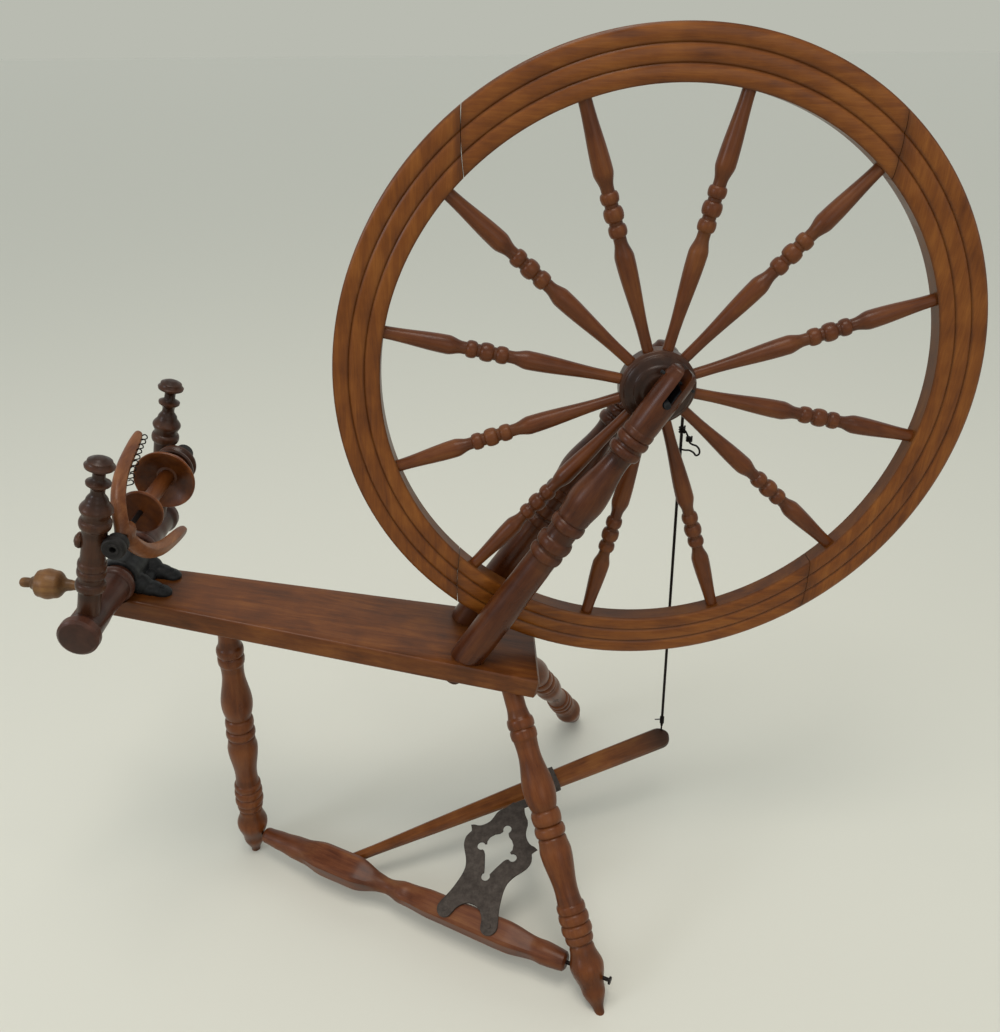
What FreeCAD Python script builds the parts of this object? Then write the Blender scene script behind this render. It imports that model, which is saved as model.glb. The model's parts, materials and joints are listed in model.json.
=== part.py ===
import FreeCAD, Part
import math
import os
import Sketcher

# Treadle spinning wheel with a slanting table, in millimetres.
# The origin is the sole of the single left foot, X runs along the table towards the drive wheel,
# Y runs from the spinner's side to the back, and Z is up.

doc = FreeCAD.newDocument("SpinningWheel")
Vector = FreeCAD.Vector
Placement = FreeCAD.Placement
Rotation = FreeCAD.Rotation
sheet = doc.addObject("Spreadsheet::Sheet", "Sizes")

# Sizes that can each be set by themselves.
driving = {
    # Table: its slope in degrees, and where its left end's top edge stands
    "table_length": 555, "table_thickness": 28, "table_right_width": 152, "table_left_width": 82,
    "table_slope": 12.8, "table_end_x": -114.6, "table_end_height": 491.5, "table_bevel": 4,
    # Legs and posts, measured in from the table's ends and out from its middle
    "left_leg_inset": 140, "right_leg_inset": 34, "leg_side": 45,
    "post_inset": 95.7, "post_side": 44, "post_lean": 33, "axle_up_post": 418.6,
    "leg_tenon_dia": 19, "leg_tenon_length": 16, "post_tenon_dia": 26, "post_tenon_below": 12,
    # Feet on the floor, from the left foot
    "front_foot_x": 493, "rear_foot_x": 522, "foot_side": 280,
    # Clearances: between fixed pieces, between running pieces, and beside them
    "joint_clearance": 0.05, "running_clearance": 0.05, "side_clearance": 0.5,
    # Drive wheel
    "wheel_dia": 750, "rim_depth": 54, "rim_thickness": 26, "rim_moulding_depth": 2.5,
    "rim_moulding_edge": 5, "rim_track_depth": 3, "rim_track_width": 9, "first_joint": 137,
    "first_spoke": 107.56, "socket_depth": 12, "axle_dia": 8,
    # Iron liners of the two bearings, and the pins that keep the axle in them
    "liner_wall": 1.2, "liner_length": 30, "liner_height": 21, "keeper_dia": 3.6, "keeper_up_axle": 25,
    "keeper_length": 46,
    # Crank behind the rear post
    "axle_length": 132, "crank_throw": 61, "crank_angle": 30, "crank_thickness": 6, "crank_width": 9,
    "crank_boss_dia": 18, "crank_eye_dia": 13, "pin_dia": 6, "pin_length": 4,
    # Treadle: its angles in degrees
    "treadle_height": 40, "treadle_tilt": 17.7, "rail_gap": 24, "rail_right_gap": 30, "rail_bevel": 3,
    "treadle_pin_dia": 5, "treadle_pin_depth": 22, "pin_head_dia": 10, "pin_head_thickness": 2.5,
    "arm_station": 171, "arm_start": 17.6, "arm_angle": 44.07, "arm_length": 504, "arm_root_width": 13,
    "arm_root_length": 30, "arm_middle": 250, "arm_middle_width": 26, "arm_end_width": 32,
    "arm_thickness": 13, "arm_tenon": 8, "arm_hole_inset": 7.5, "arm_hole_side": 8, "arm_hole_up": 4,
    "arm_hole_dia": 3.4, "arm_hole_flare": 0.28, "arm_hole_turn": -7.4,
    "plate_station": 370, "plate_thickness": 3.2, "plate_seat": 17, "plate_lobe_spread": 66,
    "plate_lobe_up": -3, "plate_lobe_dia": 23, "plate_hole_dia": 12, "plate_hole_spread": 45,
    "plate_nail_dia": 3.4, "plate_nail_head_dia": 8, "plate_nail_head_height": 1.6, "plate_nail_depth": 16,
    "strap_place": 303, "strap_width": 16, "strap_wall": 3,
    # Footman rod
    "footman_dia": 4, "footman_gap": 1, "footman_eye_dia": 14, "footman_eye_width": 4, "footman_tail": 18,
    "footman_wire_dia": 2.4, "footman_wire_up": 11,
    "knot_dia": 6.6, "knot_length": 11, "knot_up": 16, "knot_wire_dia": 1.6, "knot_wire_length": 11,
    # Head: the tilting bar and its uprights, with angles in degrees
    "head_tilt": 2.8, "head_yaw": 1.75, "bar_up": 16.6, "bar_in": 10, "bar_length": 304,
    "bar_collar_width": 8, "bar_collar_dia": 50, "journal_length": 79, "journal_dia": 40,
    "seat_clearance": 0.3, "upright_spacing": 240, "upright_tenon_dia": 14, "upright_tenon_depth": 12,
    "flyer_up": 118, "flyer_out": 25.6, "bearing_dia": 24, "bearing_thickness": 11, "shank_dia": 6,
    "shank_out": 4, "knob_dia": 11, "knob_length": 7,
    # Saddle strap over the bar, its nails and its clamp
    "saddle_wall": 4, "saddle_width": 60, "saddle_shift": 8, "saddle_foot": 54, "saddle_notch": 22,
    "saddle_drop": 30, "saddle_nail_dia": 4, "saddle_nail_head_dia": 9, "saddle_nail_head_height": 2,
    "saddle_nail_depth": 16,
    "clamp_drop": 14.5, "clamp_slope": 6, "screw_dia": 8, "screw_depth": 70, "screw_grip": 26,
    "handle_gap": 16.5,
    # Flyer
    "spindle_dia": 6, "spindle_end": 128, "orifice_dia": 12, "orifice_bore": 7.6, "orifice_depth": 26,
    "orifice_front": -136, "orifice_eye_dia": 6, "orifice_eye_in": 20,
    "fork_base": -104, "fork_thickness": 15, "fork_turn": 119.5,
    # Whorls and bobbin
    "bobbin_front": -48, "disc_dia": 54, "disc_thickness": 5, "barrel_dia": 19, "dish_dia": 77,
    "dish_rim": 38, "dish_depth": 14, "dish_wall": 4.5, "bobbin_whorl_front": 57, "bobbin_whorl_width": 14,
    "bobbin_whorl_dia": 46, "flyer_whorl_front": 73, "flyer_whorl_width": 18, "flyer_whorl_dia": 52,
    "whorl_groove": 4,
}

# Turned pieces: the place of each feature along the piece, and its diameter there.
turnings = {
    # Up from the sole; the last feature ends against the table
    "leg": [("point", -12, 6), ("tip", 26, 30), ("acorn", 59, 45), ("ankle", 86, 29), ("low_ring", 102, 40),
            ("low_ring_top", 133, 38), ("taper", 152, 31), ("bulb", 212, 41.5), ("bulb_neck", 239, 33),
            ("bead", 251, 38.5), ("bead_neck", 265, 33), ("swell", 287, 42.5), ("neck", 337, 30),
            ("top_ring", 361, 35), ("top_ring_end", 379, 36), ("shoulder", 399, 26)],
    # Up from the table
    "post": [("base", -24, 42), ("shaft", 172, 39), ("first_ring", 183, 43), ("first_cove", 191, 37),
             ("second_ring", 201, 44), ("second_cove", 215, 36), ("third_ring", 234, 44), ("vase", 268, 46),
             ("neck", 330, 30), ("fourth_ring", 345, 40), ("fourth_cove", 353, 35), ("fifth_ring", 364, 40),
             ("head", 375, 36), ("head_end", 452, 36), ("top", 460, 25)],
    # Out from the wheel's axis
    "spoke": [("root", 30, 12.8), ("hub_end", 47, 12.8), ("belly", 155, 22), ("lower_neck", 177, 15),
              ("beads", 204, 21), ("upper_neck", 229, 15), ("swell", 247, 22), ("rim_end", 320, 15)],
    # Out from the middle, alike in front and behind
    "hub": [("band", 8, 91), ("dome", 14, 80), ("face", 20, 56), ("nose", 23, 30)],
    # In from either end, as far as the collar
    "bar": [("face", 0, 42), ("rim", 3.5, 48), ("rim_back", 12, 48), ("throat", 18.5, 40),
            ("seat_end", 46, 40), ("waist", 64, 37.5)],
    # Out from the bar's axis
    "upright": [("foot", 10, 25), ("foot_top", 47, 25), ("base_ring", 55, 33), ("base_cove", 63, 26),
                ("ridge", 71, 31), ("ridge_top", 87, 30), ("shaft", 95, 26), ("shaft_top", 129, 26),
                ("collar", 138, 34), ("collar_cove", 145, 29), ("vase", 155, 35), ("throat", 175, 15),
                ("ring", 187, 26), ("ring_neck", 197, 14), ("finial", 209, 31), ("finial_top", 218, 12)],
    # Out from the shoulder that meets the saddle
    "handle": [("shoulder", 0, 16), ("collar", 8, 21), ("neck", 33, 12), ("ball_foot", 49, 22),
               ("ball_low", 57, 36), ("ball", 68, 40), ("ball_high", 78, 36), ("ball_top", 86, 20),
               ("button_neck", 90, 11), ("button", 98, 13), ("end", 103, 8)],
    # From the left end
    "rail": [("left_end", 0, 22), ("left_round", 62, 33), ("left_swell", 112, 48), ("left_swell_end", 158, 48),
             ("waist", 218, 21), ("shoulder", 247, 34), ("right_swell", 285, 39), ("right_swell_end", 404, 42),
             ("right_round", 447, 30), ("right_side", 487, 24), ("right_end", 490, 18)],
}

# Flat shapes that are the same on both sides of their middle: the place of each corner along the
# middle line, and the width there.
outlines = {
    # Iron plate, from the rail's axis towards the arm
    "plate": [("arch_side", 3, 40), ("ankle", 12, 88), ("waist", 56, 62), ("belly", 82, 97),
              ("spur_foot", 104, 92), ("spur", 115, 103), ("spur_top", 119, 88), ("notch", 132, 56),
              ("shoulder", 139, 64), ("crown", 154, 34), ("tongue", 168, 20)],
    # Opening in the plate
    "opening": [("low", 58, 6), ("belly", 86, 26), ("side", 98, 30), ("chest", 113, 24), ("high", 132, 7)],
    # Fork of the flyer, from its base: outside, then inside
    "fork": [("base", 0, 18), ("neck", 8, 26), ("shoulder", 27, 62), ("bend", 44, 88), ("arm", 61, 112),
             ("wrist", 88, 132), ("tip", 139, 152)],
    "fork_inside": [("crotch", 23, 0.5), ("shoulder", 38, 34), ("bend", 53, 60), ("arm", 68, 82),
                    ("wrist", 91, 102), ("tip", 139, 124)],
}


class Size:
    """A number together with the formula on the sheet that gives it."""

    def __init__(self, value, formula=None):
        self.value = float(value)
        self.formula = formula or "%.10g" % value

    def __add__(self, other):
        other = sized(other)
        return Size(self.value + other.value, "(%s + %s)" % (self.formula, other.formula))

    def __sub__(self, other):
        other = sized(other)
        return Size(self.value - other.value, "(%s - %s)" % (self.formula, other.formula))

    def __mul__(self, factor):
        return Size(self.value * factor, "(%s * %.10g)" % (self.formula, factor))

    def __neg__(self):
        return self * -1


def sized(number):
    return number if isinstance(number, Size) else Size(number)


known = {}


def keep(name, value):
    """Write one size on the sheet under its own name."""
    place = "A%d" % (len(known) + 1)
    sheet.set(place, "%.10g" % value)
    sheet.setAlias(place, name)
    known[name] = Size(value, "Sizes." + name)
    return known[name]


def s(name):
    return known[name]


def v(name):
    return known[name].value


for name, value in driving.items():
    keep(name, value)
for group in (turnings, outlines):
    for piece, features in group.items():
        for feature, at, across in features:
            keep("%s_%s_at" % (piece, feature), at)
            keep("%s_%s_wide" % (piece, feature), across)
doc.recompute()


def row(piece):
    """Pairs of place and half width for each feature of a turned or flat piece."""
    features = (turnings.get(piece) or outlines.get(piece))
    return [(s("%s_%s_at" % (piece, f[0])), s("%s_%s_wide" % (piece, f[0])) * 0.5) for f in features]


def half_width_at(piece, place):
    """Half width of a piece at a place along it."""
    features = row(piece)
    for (low, low_half), (high, high_half) in zip(features, features[1:]):
        if low.value <= place <= high.value:
            share = (place - low.value) / (high.value - low.value)
            return low_half.value + share * (high_half.value - low_half.value)
    return features[-1][1].value


def bind(thing, **sizes):
    for prop, size in sizes.items():
        size = sized(size)
        setattr(thing, prop, size.value)
        if "Sizes" in size.formula:
            thing.setExpression(prop, size.formula)
    return thing


def frame(origin, x_way, z_way):
    """Placement at origin whose Z is z_way and whose X lies as near x_way as it can."""
    z_way = Vector(z_way).normalize()
    y_way = z_way.cross(x_way).normalize()
    return Placement(origin, Rotation(y_way.cross(z_way), y_way, z_way, "ZXY"))


def aim(origin, way):
    return Placement(origin, Rotation(Vector(0, 0, 1), way))


def attach(sketch, body, role):
    plane = next(f for f in body.Origin.OriginFeatures if f.Role == role)
    sketch.AttachmentSupport = [(plane, "")]
    sketch.MapMode = "FlatFace"


def draw(sketch, corners):
    """Closed outline through the corners, each a pair of sizes bound to the sheet."""
    count = len(corners)
    ends = [Vector(x.value, y.value, 0) for x, y in corners]
    sketch.addGeometry([Part.LineSegment(ends[i], ends[(i + 1) % count]) for i in range(count)], False)
    rules, formulas = [], []
    for i in range(count):
        rules.append(Sketcher.Constraint("Coincident", i, 2, (i + 1) % count, 1))
    for i, corner in enumerate(corners):
        for kind, axis, size in (("DistanceX", -2, corner[0]), ("DistanceY", -1, corner[1])):
            if abs(size.value) < 1e-9 and "Sizes" not in size.formula:
                rules.append(Sketcher.Constraint("PointOnObject", i, 1, axis))
            else:
                formulas.append((len(rules), size.formula))
                rules.append(Sketcher.Constraint(kind, -1, 1, i, 1, size.value))
    sketch.addConstraint(rules)
    for place, formula in formulas:
        if "Sizes" in formula:
            sketch.setExpression("Constraints[%d]" % place, formula)


def turned(name, stations, place):
    """Solid turned about its own Z through pairs of place and radius."""
    body = doc.addObject("PartDesign::Body", name)
    sketch = body.newObject("Sketcher::SketchObject", name + "_outline")
    attach(sketch, body, "XZ_Plane")
    nought = Size(0)
    draw(sketch, [(nought, stations[0][0])] + [(r, z) for z, r in stations] + [(nought, stations[-1][0])])
    turning = body.newObject("PartDesign::Revolution", name + "_turning")
    turning.Profile = sketch
    turning.ReferenceAxis = (sketch, ["V_Axis"])
    turning.Angle = 360
    body.Tip = turning
    body.Placement = place
    return body


def flat(name, corners, thickness, place):
    """Plate with the outline in its own XY plane, half its thickness on either side."""
    body = doc.addObject("PartDesign::Body", name)
    sketch = body.newObject("Sketcher::SketchObject", name + "_outline")
    attach(sketch, body, "XY_Plane")
    draw(sketch, corners)
    pad = body.newObject("PartDesign::Pad", name + "_pad")
    pad.Profile = sketch
    bind(pad, Length=thickness)
    pad.SideType = "Symmetric"
    body.Tip = pad
    body.Placement = place
    return body


def both_sides(piece):
    """Corners up one side of a flat piece and down the other."""
    side = row(piece)
    return [(w, at) for at, w in side] + [(-w, at) for at, w in reversed(side)]


def rod(name, radius, length, place):
    return placed(bind(doc.addObject("Part::Cylinder", name), Radius=radius, Height=length), place)


def cone(name, low_radius, high_radius, length, place):
    return placed(bind(doc.addObject("Part::Cone", name), Radius1=low_radius, Radius2=high_radius,
                       Height=length), place)


def block(name, length, width, height, place, shift=(0, 0, 0)):
    """Box whose corner is shifted from the placement by the given sizes, along the placement's own ways."""
    corner = place.multVec(Vector(*[sized(x).value for x in shift]))
    box = bind(doc.addObject("Part::Box", name), Length=length, Width=width, Height=height)
    return placed(box, Placement(corner, place.Rotation))


def placed(thing, place):
    thing.Placement = place
    return thing


def fuse(name, pieces):
    joined = doc.addObject("Part::MultiFuse", name)
    joined.Shapes = pieces
    return joined


def cut(name, base, tools):
    result = doc.addObject("Part::Cut", name)
    result.Base = base
    result.Tool = tools[0] if len(tools) == 1 else fuse(name + "_tools", tools)
    return result


nodes = {}


def node(label, thing):
    nodes[label] = thing


nought = Size(0)
joint = s("joint_clearance")
running = s("running_clearance")
world = Placement()

# Table: a tapered board, its top face in its own XY plane
table_place = Placement(Vector(v("table_end_x"), 0, v("table_end_height")),
                        Rotation(Vector(0, 1, 0), v("table_slope")))


right_leg_station = v("table_length") - v("right_leg_inset")
post_station = v("table_length") - v("post_inset")


def on_table(station, side, height):
    return table_place.multVec(Vector(station, side, height))


board = doc.addObject("PartDesign::Body", "board")
board_outline = board.newObject("Sketcher::SketchObject", "board_outline")
attach(board_outline, board, "XY_Plane")
draw(board_outline, [(nought, s("table_left_width") * -0.5), (s("table_length"), s("table_right_width") * -0.5),
                     (s("table_length"), s("table_right_width") * 0.5), (nought, s("table_left_width") * 0.5)])
board_pad = bind(board.newObject("PartDesign::Pad", "board_pad"), Length=s("table_thickness"))
board_pad.Profile = board_outline
board_pad.Reversed = True
doc.recompute()
board_bevel = board.newObject("PartDesign::Chamfer", "board_bevel")
broad_faces = ["Face%d" % (i + 1) for i, face in enumerate(board_pad.Shape.Faces)
               if abs(face.normalAt(0, 0).z) > 0.9]
board_bevel.Base = (board_pad, broad_faces)
bind(board_bevel, Size=s("table_bevel"))
board.Tip = board_bevel
board.Placement = table_place
table_cuts = []


def above_underside(name):
    """Everything above the table's underside."""
    return block(name, s("table_length") + 100, s("table_right_width") + 100, 60, table_place,
                 (-50, s("table_right_width") * -0.5 - 50, -s("table_thickness")))


def below_top(name):
    """Everything below the table's top."""
    return block(name, s("table_length") + 100, s("table_right_width") + 100, 60, table_place,
                 (-50, s("table_right_width") * -0.5 - 50, -60))


def below_floor(name):
    return block(name, s("table_length") + 400, s("foot_side") * 2 + 200, 40, world,
                 (-200, -s("foot_side") - 100, -40))


# Legs: turned, cut flat on the floor and to the table's underside, with a blind tenon above
class Leg:
    def __init__(self, name, foot, station, side):
        self.name = name
        self.foot = foot
        self.top = on_table(station, side, -v("table_thickness"))
        self.way = (self.top - foot).normalize()
        self.length = keep(name + "_length", (self.top - foot).Length)
        self.place = aim(foot, self.way)
        self.cuts = []

    def at_height(self, height):
        return self.foot + self.way * (height / self.way.z)


legs = {
    "left_leg": Leg("left_leg", Vector(0, 0, 0), v("left_leg_inset"), 0),
    "front_leg": Leg("front_leg", Vector(v("front_foot_x"), -v("foot_side"), 0), right_leg_station,
                     -v("leg_side")),
    "rear_leg": Leg("rear_leg", Vector(v("rear_foot_x"), v("foot_side"), 0), right_leg_station,
                    v("leg_side")),
}

# Treadle frame: X from the left leg to the front leg, Y up the treadle's slope
rail_left = legs["left_leg"].at_height(v("treadle_height"))
rail_right = legs["front_leg"].at_height(v("treadle_height"))
rail_way = (rail_right - rail_left).normalize()
rail_span = keep("rail_span", (rail_right - rail_left).Length)
level_way = Vector(0, 0, 1).cross(rail_way).normalize()
tilt = math.radians(v("treadle_tilt"))
uphill = level_way * math.cos(tilt) + Vector(0, 0, 1) * math.sin(tilt)
treadle_place = Placement(rail_left, Rotation(rail_way, uphill, rail_way.cross(uphill), "ZXY"))


def on_treadle(x, y, z):
    return treadle_place.multVec(Vector(x, y, z))


# Each treadle pin goes through a leg into the rail's end; its head stands just outside the leg.
pin_radius = s("treadle_pin_dia") * 0.5
for name, leg, outward, spot, gap in (("left", legs["left_leg"], -1, rail_left, "rail_gap"),
                                      ("right", legs["front_leg"], 1, rail_right, "rail_right_gap")):
    slant = abs(leg.way.dot(rail_way))
    square = math.sqrt(1 - slant * slant)
    leg_radius = half_width_at("leg", (spot - leg.foot).Length)
    head_in = keep(name + "_pin_head_in", (leg_radius + v("pin_head_dia") / 2 * slant) / square
                   + v("side_clearance") + 1.5)
    way = rail_way * outward
    shank_start = -(s(gap) + s("treadle_pin_depth"))
    start = spot + way * shank_start.value
    shank = rod(name + "_pin_shank", pin_radius, head_in - shank_start, aim(start, way))
    head = rod(name + "_pin_head", s("pin_head_dia") * 0.5, s("pin_head_thickness"),
               aim(spot + way * head_in.value, way))
    node(name + "_treadle_pin", fuse(name + "_pin_whole", [shank, head]))
    leg.cuts.append(rod(name + "_pin_hole", pin_radius + joint, 80, aim(spot - way * 40, way)))

tenon_radius = s("leg_tenon_dia") * 0.5
for leg in legs.values():
    stations = row("leg") + [(leg.length + 30, row("leg")[-1][1])]
    shaft = turned(leg.name + "_turned", stations, leg.place)
    trimmed = cut(leg.name + "_trimmed", shaft, [below_floor(leg.name + "_floor"),
                                                 above_underside(leg.name + "_table_plane")] + leg.cuts)
    tenon_start = leg.length - s("leg_tenon_length")
    tenon = rod(leg.name + "_tenon", tenon_radius, s("leg_tenon_length") * 2,
                aim(leg.foot + leg.way * tenon_start.value, leg.way))
    node(leg.name, fuse(leg.name + "_whole", [trimmed, tenon]))
    table_cuts.append(rod(leg.name + "_socket", tenon_radius + joint, s("leg_tenon_length") * 2 + joint,
                          aim(leg.foot + leg.way * tenon_start.value, leg.way)))

# Posts: turned, leaning towards the wheel, slotted at the top for the axle's liner
lean = math.radians(v("post_lean"))
post_way = Vector(math.sin(lean), 0, math.cos(lean))
axle_centre = on_table(post_station, 0, 0) + post_way * v("axle_up_post")
axle_radius = s("axle_dia") * 0.5
liner_inner = axle_radius + running
liner_outer = liner_inner + s("liner_wall")
slot_half = liner_outer + joint
post_tenon_radius = s("post_tenon_dia") * 0.5
post_tenon_length = keep("post_tenon_length", (v("table_thickness") + v("post_tenon_below"))
                         / math.cos(lean - math.radians(v("table_slope"))))
for name, side in (("front", -1), ("rear", 1)):
    foot = on_table(post_station, side * v("post_side"), 0)
    place = frame(foot, Vector(1, 0, 0), post_way)
    seat = frame(foot + post_way * v("axle_up_post"), Vector(1, 0, 0), post_way)
    across = Placement(seat.multVec(Vector(0, -40, 0)), seat.Rotation * Rotation(Vector(1, 0, 0), -90))
    shaft = turned(name + "_post_turned", row("post"), place)
    slot = block(name + "_slot", slot_half * 2, 80, 80, seat, (-slot_half, -40, 0))
    slot_round = rod(name + "_slot_round", slot_half, 80, across)
    keeper_hole = rod(name + "_keeper_hole", s("keeper_dia") * 0.5 + joint, s("keeper_length") + 40,
                      aim(seat.multVec(Vector(-v("keeper_length") / 2 - 20, 0, v("keeper_up_axle"))),
                          seat.Rotation.multVec(Vector(1, 0, 0))))
    trimmed = cut(name + "_post_trimmed", shaft, [below_top(name + "_table_plane"), slot, slot_round,
                                                  keeper_hole])
    tenon = rod(name + "_post_tenon", post_tenon_radius, post_tenon_length + 12,
                aim(foot - post_way * post_tenon_length.value, post_way))
    node(name + "_post", fuse(name + "_post_whole", [trimmed, tenon]))
    table_cuts.append(rod(name + "_post_hole", post_tenon_radius + joint, 120, aim(foot - post_way * 60,
                                                                                   post_way)))
    start = Placement(seat.multVec(Vector(0, -v("liner_length") / 2, 0)), across.Rotation)
    shell = fuse(name + "_liner_shell", [
        rod(name + "_liner_round", liner_outer, s("liner_length"), start),
        block(name + "_liner_sides", liner_outer * 2, s("liner_length"), s("liner_height"), seat,
              (-liner_outer, s("liner_length") * -0.5, 0))])
    node(name + "_liner", cut(name + "_liner_cut", shell, [
        rod(name + "_liner_bore", liner_inner, 80, across),
        block(name + "_liner_gap", liner_inner * 2, 80, 80, seat, (-liner_inner, -40, 0))]))
    node(name + "_keeper", rod(name + "_keeper_pin", s("keeper_dia") * 0.5, s("keeper_length"),
                               aim(seat.multVec(Vector(-v("keeper_length") / 2, 0, v("keeper_up_axle"))),
                                   seat.Rotation.multVec(Vector(1, 0, 0)))))

# Drive wheel: its own Z runs along the axle to the back
wheel_place = Placement(axle_centre, Rotation(Vector(1, 0, 0), -90))


def wheel_turn(degrees):
    """The wheel's place turned so that its X points the given way up from the table's far end."""
    return wheel_place.multiply(Placement(Vector(), Rotation(Vector(0, 0, 1), -degrees)))


rim_outer = s("wheel_dia") * 0.5
rim_inner = rim_outer - s("rim_depth")
half_rim = s("rim_thickness") * 0.5
groove = half_rim - s("rim_moulding_depth")
edge = s("rim_moulding_edge")
face = []
for band in range(3):
    low = rim_inner + s("rim_depth") * (band / 3.0)
    high = rim_inner + s("rim_depth") * ((band + 1) / 3.0)
    face += [(groove, low), (half_rim, low + s("rim_depth") * (1 / 6.0))]
face.append((groove, rim_outer))
track_half = s("rim_track_width") * 0.5
rim_section = ([(r, z) for z, r in face] + [(rim_outer, track_half), (rim_outer - s("rim_track_depth"), nought),
                                            (rim_outer, -track_half)]
               + [(r, -z) for z, r in reversed(face)])
spoke_count = 12
felloe_count = 4
socket_radius = s("spoke_rim_end_wide") * 0.5 + joint
spoke_foot = s("spoke_root_wide") * 0.5
socket_spread = math.degrees(socket_radius.value / rim_inner.value)
for i in range(felloe_count):
    name = "felloe_%d" % (i + 1)
    begin = v("first_joint") + i * 360.0 / felloe_count
    ring = doc.addObject("PartDesign::Body", name + "_turned")
    section = ring.newObject("Sketcher::SketchObject", name + "_section")
    attach(section, ring, "XZ_Plane")
    draw(section, rim_section)
    turning = ring.newObject("PartDesign::Revolution", name + "_turning")
    turning.Profile = section
    turning.ReferenceAxis = (section, ["V_Axis"])
    turning.Angle = 360.0 / felloe_count
    ring.Tip = turning
    ring.Placement = wheel_turn(begin + 360.0 / felloe_count)
    sockets = []
    for k in range(spoke_count):
        way = v("first_spoke") + k * 360.0 / spoke_count
        # A spoke at a joint is let into the felloes on both sides of it.
        if (way - begin + socket_spread) % 360.0 < 360.0 / felloe_count + 2 * socket_spread:
            place = wheel_turn(way).multiply(Placement(Vector(rim_inner.value - 20, 0, 0),
                                                       Rotation(Vector(0, 1, 0), 90)))
            sockets.append(rod("%s_socket_%d" % (name, k + 1), socket_radius, s("socket_depth") + 20 + joint,
                               place))
    node(name, cut(name + "_drilled", ring, sockets))

hub = turned("hub_turned", [(-z, r) for z, r in reversed(row("hub"))] + row("hub"), wheel_place)
hub_cuts = [rod("hub_bore", axle_radius + joint, 100, aim(axle_centre - Vector(0, 50, 0), Vector(0, 1, 0)))]
for k in range(spoke_count):
    way = v("first_spoke") + k * 360.0 / spoke_count
    outward = wheel_turn(way).multiply(Placement(Vector(), Rotation(Vector(0, 1, 0), 90)))
    stations = row("spoke") + [(rim_inner + s("socket_depth"), row("spoke")[-1][1])]
    node("spoke_%02d" % (k + 1), turned("spoke_%02d_turned" % (k + 1), stations, outward))
    start = s("spoke_root_at") - joint
    hub_cuts.append(rod("hub_socket_%d" % (k + 1), spoke_foot + joint, 40,
                        Placement(outward.multVec(Vector(0, 0, start.value)), outward.Rotation)))
node("hub", cut("hub_drilled", hub, hub_cuts))

# Axle with its crank behind the rear post
back_way = Vector(0, 1, 0)
crank_down = math.radians(v("crank_angle"))
throw_way = Vector(math.cos(crank_down), 0, -math.sin(crank_down))
half_axle = s("axle_length") * 0.5
crank_front = axle_centre + back_way * half_axle.value
pin_centre = crank_front + throw_way * v("crank_throw")
crank_frame = frame(crank_front, throw_way, back_way)
node("axle_crank", fuse("axle_crank_whole", [
    rod("axle_rod", axle_radius, s("axle_length") + s("crank_thickness") * 0.5,
        aim(axle_centre - back_way * half_axle.value, back_way)),
    rod("crank_boss", s("crank_boss_dia") * 0.5, s("crank_thickness"), aim(crank_front, back_way)),
    block("crank_web", s("crank_throw"), s("crank_width"), s("crank_thickness"), crank_frame,
          (0, s("crank_width") * -0.5, 0)),
    rod("crank_eye", s("crank_eye_dia") * 0.5, s("crank_thickness"), aim(pin_centre, back_way)),
    rod("crank_pin", s("pin_dia") * 0.5, s("crank_thickness") + s("pin_length"), aim(pin_centre, back_way))]))

# Treadle rail, turned, with the arm let into it
rail_length = rail_span - s("rail_gap") - s("rail_right_gap")
rail_features = row("rail")
rail_place = frame(on_treadle(v("rail_gap"), 0, 0), Vector(0, 0, 1), rail_way)
rail_body = turned("rail_turned", rail_features[:-2] + [
    (rail_length - s("rail_bevel"), rail_features[-2][1]), (rail_length, rail_features[-1][1])], rail_place)
arm_way = treadle_place.Rotation * Rotation(Vector(0, 0, 1), v("arm_angle"))
arm_place = Placement(on_treadle(v("arm_station"), v("arm_start"), 0), arm_way)
half_root = s("arm_root_width") * 0.5
arm_end_radius = s("arm_end_width") * 0.5
arm_last = s("arm_length") - arm_end_radius
half_arm = s("arm_thickness") * 0.5
rail_cuts = [block("arm_mortise", s("arm_tenon") + s("arm_root_length"), half_root * 2 + joint * 2,
                   s("arm_thickness") + joint * 2, arm_place,
                   (-s("arm_tenon") - joint, -half_root - joint, -half_arm - joint)),
             block("plate_seat", 140, 80, 30, treadle_place,
                   (s("plate_station") - 70, -30, s("plate_seat")))]
for name, origin, way, gap in (("left", rail_left, rail_way, "rail_gap"),
                               ("right", rail_right, rail_way * -1, "rail_right_gap")):
    rail_cuts.append(rod(name + "_rail_bore", pin_radius + running, s("treadle_pin_depth") + s(gap) + 1,
                         aim(origin, way)))

# Treadle arm: a board that widens to a round end, with a hole for the footman
arm_corners = [(-s("arm_tenon"), -half_root), (s("arm_root_length"), -half_root),
               (s("arm_middle"), s("arm_middle_width") * -0.5), (arm_last, -arm_end_radius),
               (arm_last, arm_end_radius), (s("arm_middle"), s("arm_middle_width") * 0.5),
               (s("arm_root_length"), half_root), (-s("arm_tenon"), half_root)]
arm_board = flat("arm_board", arm_corners, s("arm_thickness"), arm_place)
arm_end = rod("arm_end", arm_end_radius, s("arm_thickness"),
              Placement(arm_place.multVec(Vector(arm_last.value, 0, -half_arm.value)), arm_way))
hole_spot = Vector(v("arm_length") - v("arm_hole_inset"), v("arm_hole_side"), v("arm_hole_up"))
hole_centre = arm_place.multVec(hole_spot)

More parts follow.
